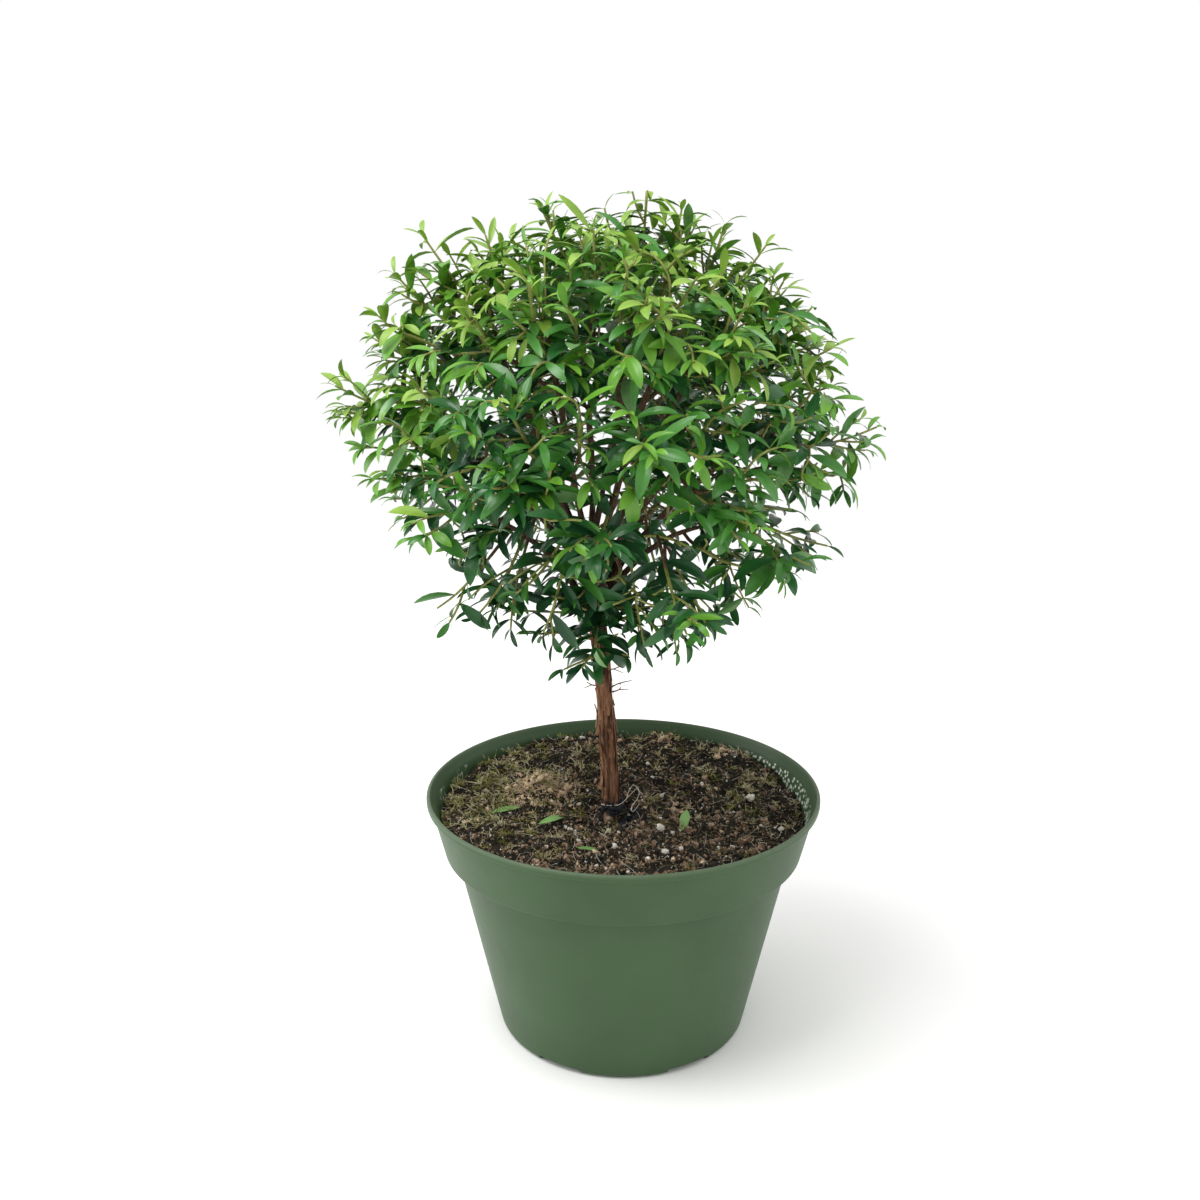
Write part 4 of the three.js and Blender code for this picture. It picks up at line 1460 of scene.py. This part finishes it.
# %% Leaf materials
def waxy_leaf(name, darker, lighter, roughness):
    """A waxy leaf skin: two close greens in soft patches a centimetre across, with a fine bump."""
    wax = {"Roughness": roughness, "IOR": 1.45, "Specular IOR Level": 0.5}
    patches = {"Scale": cells_per_metre(9), "Detail": 2}
    grain = {"Scale": cells_per_metre(0.8), "Detail": 2}
    stops = [(0.3, darker), (0.7, lighter)]
    return blotched(name, wax, patches, stops, grain, {"Strength": 0.35, "Distance": 0.1 * MM})


# Two greens and the roughness of each kind.
LEAF_FINISH = {
    "leaves_tip_and_lit": ("#6f952f", "#8eb046", 0.45),
    "leaves_young_and_lit": ("#4f881e", "#689c32", 0.38),
    "leaves_mid": ("#336d24", "#44802f", 0.33),
    "leaves_mature_and_shaded": ("#205223", "#2a632c", 0.3),
    "leaves_deep_and_shaded": ("#173e22", "#214f2b", 0.3),
    "leaves_pale_and_sheen": ("#5c8c4e", "#78a365", 0.36),
}
# Width as a share of length, and fold and bend in radians: the least and the most.
WIDTH_SHARES, FOLDS, BENDS = (0.2, 0.37), (0.2, 0.65), (0.3, 1.4)
# Every kind of leaf grows in every mass, so the masses they replace are shared out among the kinds.
for kind, stood_for in zip(KINDS, np.array_split(MASS_NAMES, len(KINDS))):
    place, heading, face, length = (np.array(column, float) for column in zip(*dealt[kind]))
    count = len(place)
    width = length * rng.uniform(*WIDTH_SHARES, count)
    fold, bend = rng.uniform(*FOLDS, count), rng.uniform(*BENDS, count)
    points = leaf_arrays(place, unit(heading), face, length, width, fold, bend)
    starts = (np.arange(count) * LEAF_POINTS)[:, None, None]
    blades = Heap()
    blades.add(points.reshape(-1, 3), (LEAF_QUADS + starts).reshape(-1, 4),
        (LEAF_TIP + starts).reshape(-1, 3))
    blades.piece(kind, waxy_leaf(kind, *LEAF_FINISH[kind]), "foliage", *[str(name) for name in stood_for])

# %% [markdown]
# ### Fallen leaves
#
# A few leaves have dropped onto the potting mix and lie flat. They are a duller green than the
# living ones, because a fallen leaf loses its wax and its gloss within days.

# %% Leaves on the mix
FALLEN_MM = [(-55, -12, -43, -3), (-35, -22, -24, -11), (-19, -40, -10, -41), (27, -5, 24, -22)]
fallen = Heap()
for from_x, from_y, to_x, to_y in FALLEN_MM:
    ends = np.array([(from_x, from_y), (to_x, to_y)]) * MM
    rest = max(soil_height(*(ends[0] + (ends[1] - ends[0]) * share)) for share in np.linspace(0, 1, 7))
    base = np.array([[*ends[0], rest + 1.0 * MM]])
    along = np.array([[*(ends[1] - ends[0]), 0.0]])
    length = np.linalg.norm(along, axis=1)
    face = np.array([[0.1, -0.15, 1.0]])
    blade = leaf_arrays(base, unit(along), face, length, length * 0.25, np.array([0.25]), np.array([0.2]))
    fallen.add(blade[0], LEAF_QUADS, LEAF_TIP)
fallen.piece("fallen_leaves", waxy_leaf("fallen_leaf", "#55803c", "#77a253", 0.6), "foliage")

# %% [markdown]
# ### Finish of the twigs
#
# Woody twigs are grey brown and dry like the boughs. This year's shoots are olive, with a thin skin
# that is smoother than bark and only faintly streaked.

# %% Twig finish
twig_bark = streaked("twig_bark",
    [(0.0, "#2e231b"), (0.5, "#57422f"), (1.0, "#80674a")],
    across_mm=0.8, along_mm=6, roughness=0.8, bump_mm=0.1)
young_bark = streaked("young_bark",
    [(0.0, "#66702f"), (0.5, "#868b48"), (1.0, "#a39f60")],
    across_mm=0.8, along_mm=8, roughness=0.6, bump_mm=0.05)
twigs.piece("twigs", twig_bark, "twig")
green_shoots.piece("young_shoots", young_bark, "twig")

# %% [markdown]
# ## Size
#
# The plant has to stay in the room that the imported model gives it, so both boxes are put side by
# side, and the visual one is printed.

# %% Sizes
visual_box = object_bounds()
sizes = {"cad": [list(corner) for corner in cad_box], "visual": [list(corner) for corner in visual_box]}
print("visual box in mm:", in_mm(visual_box))
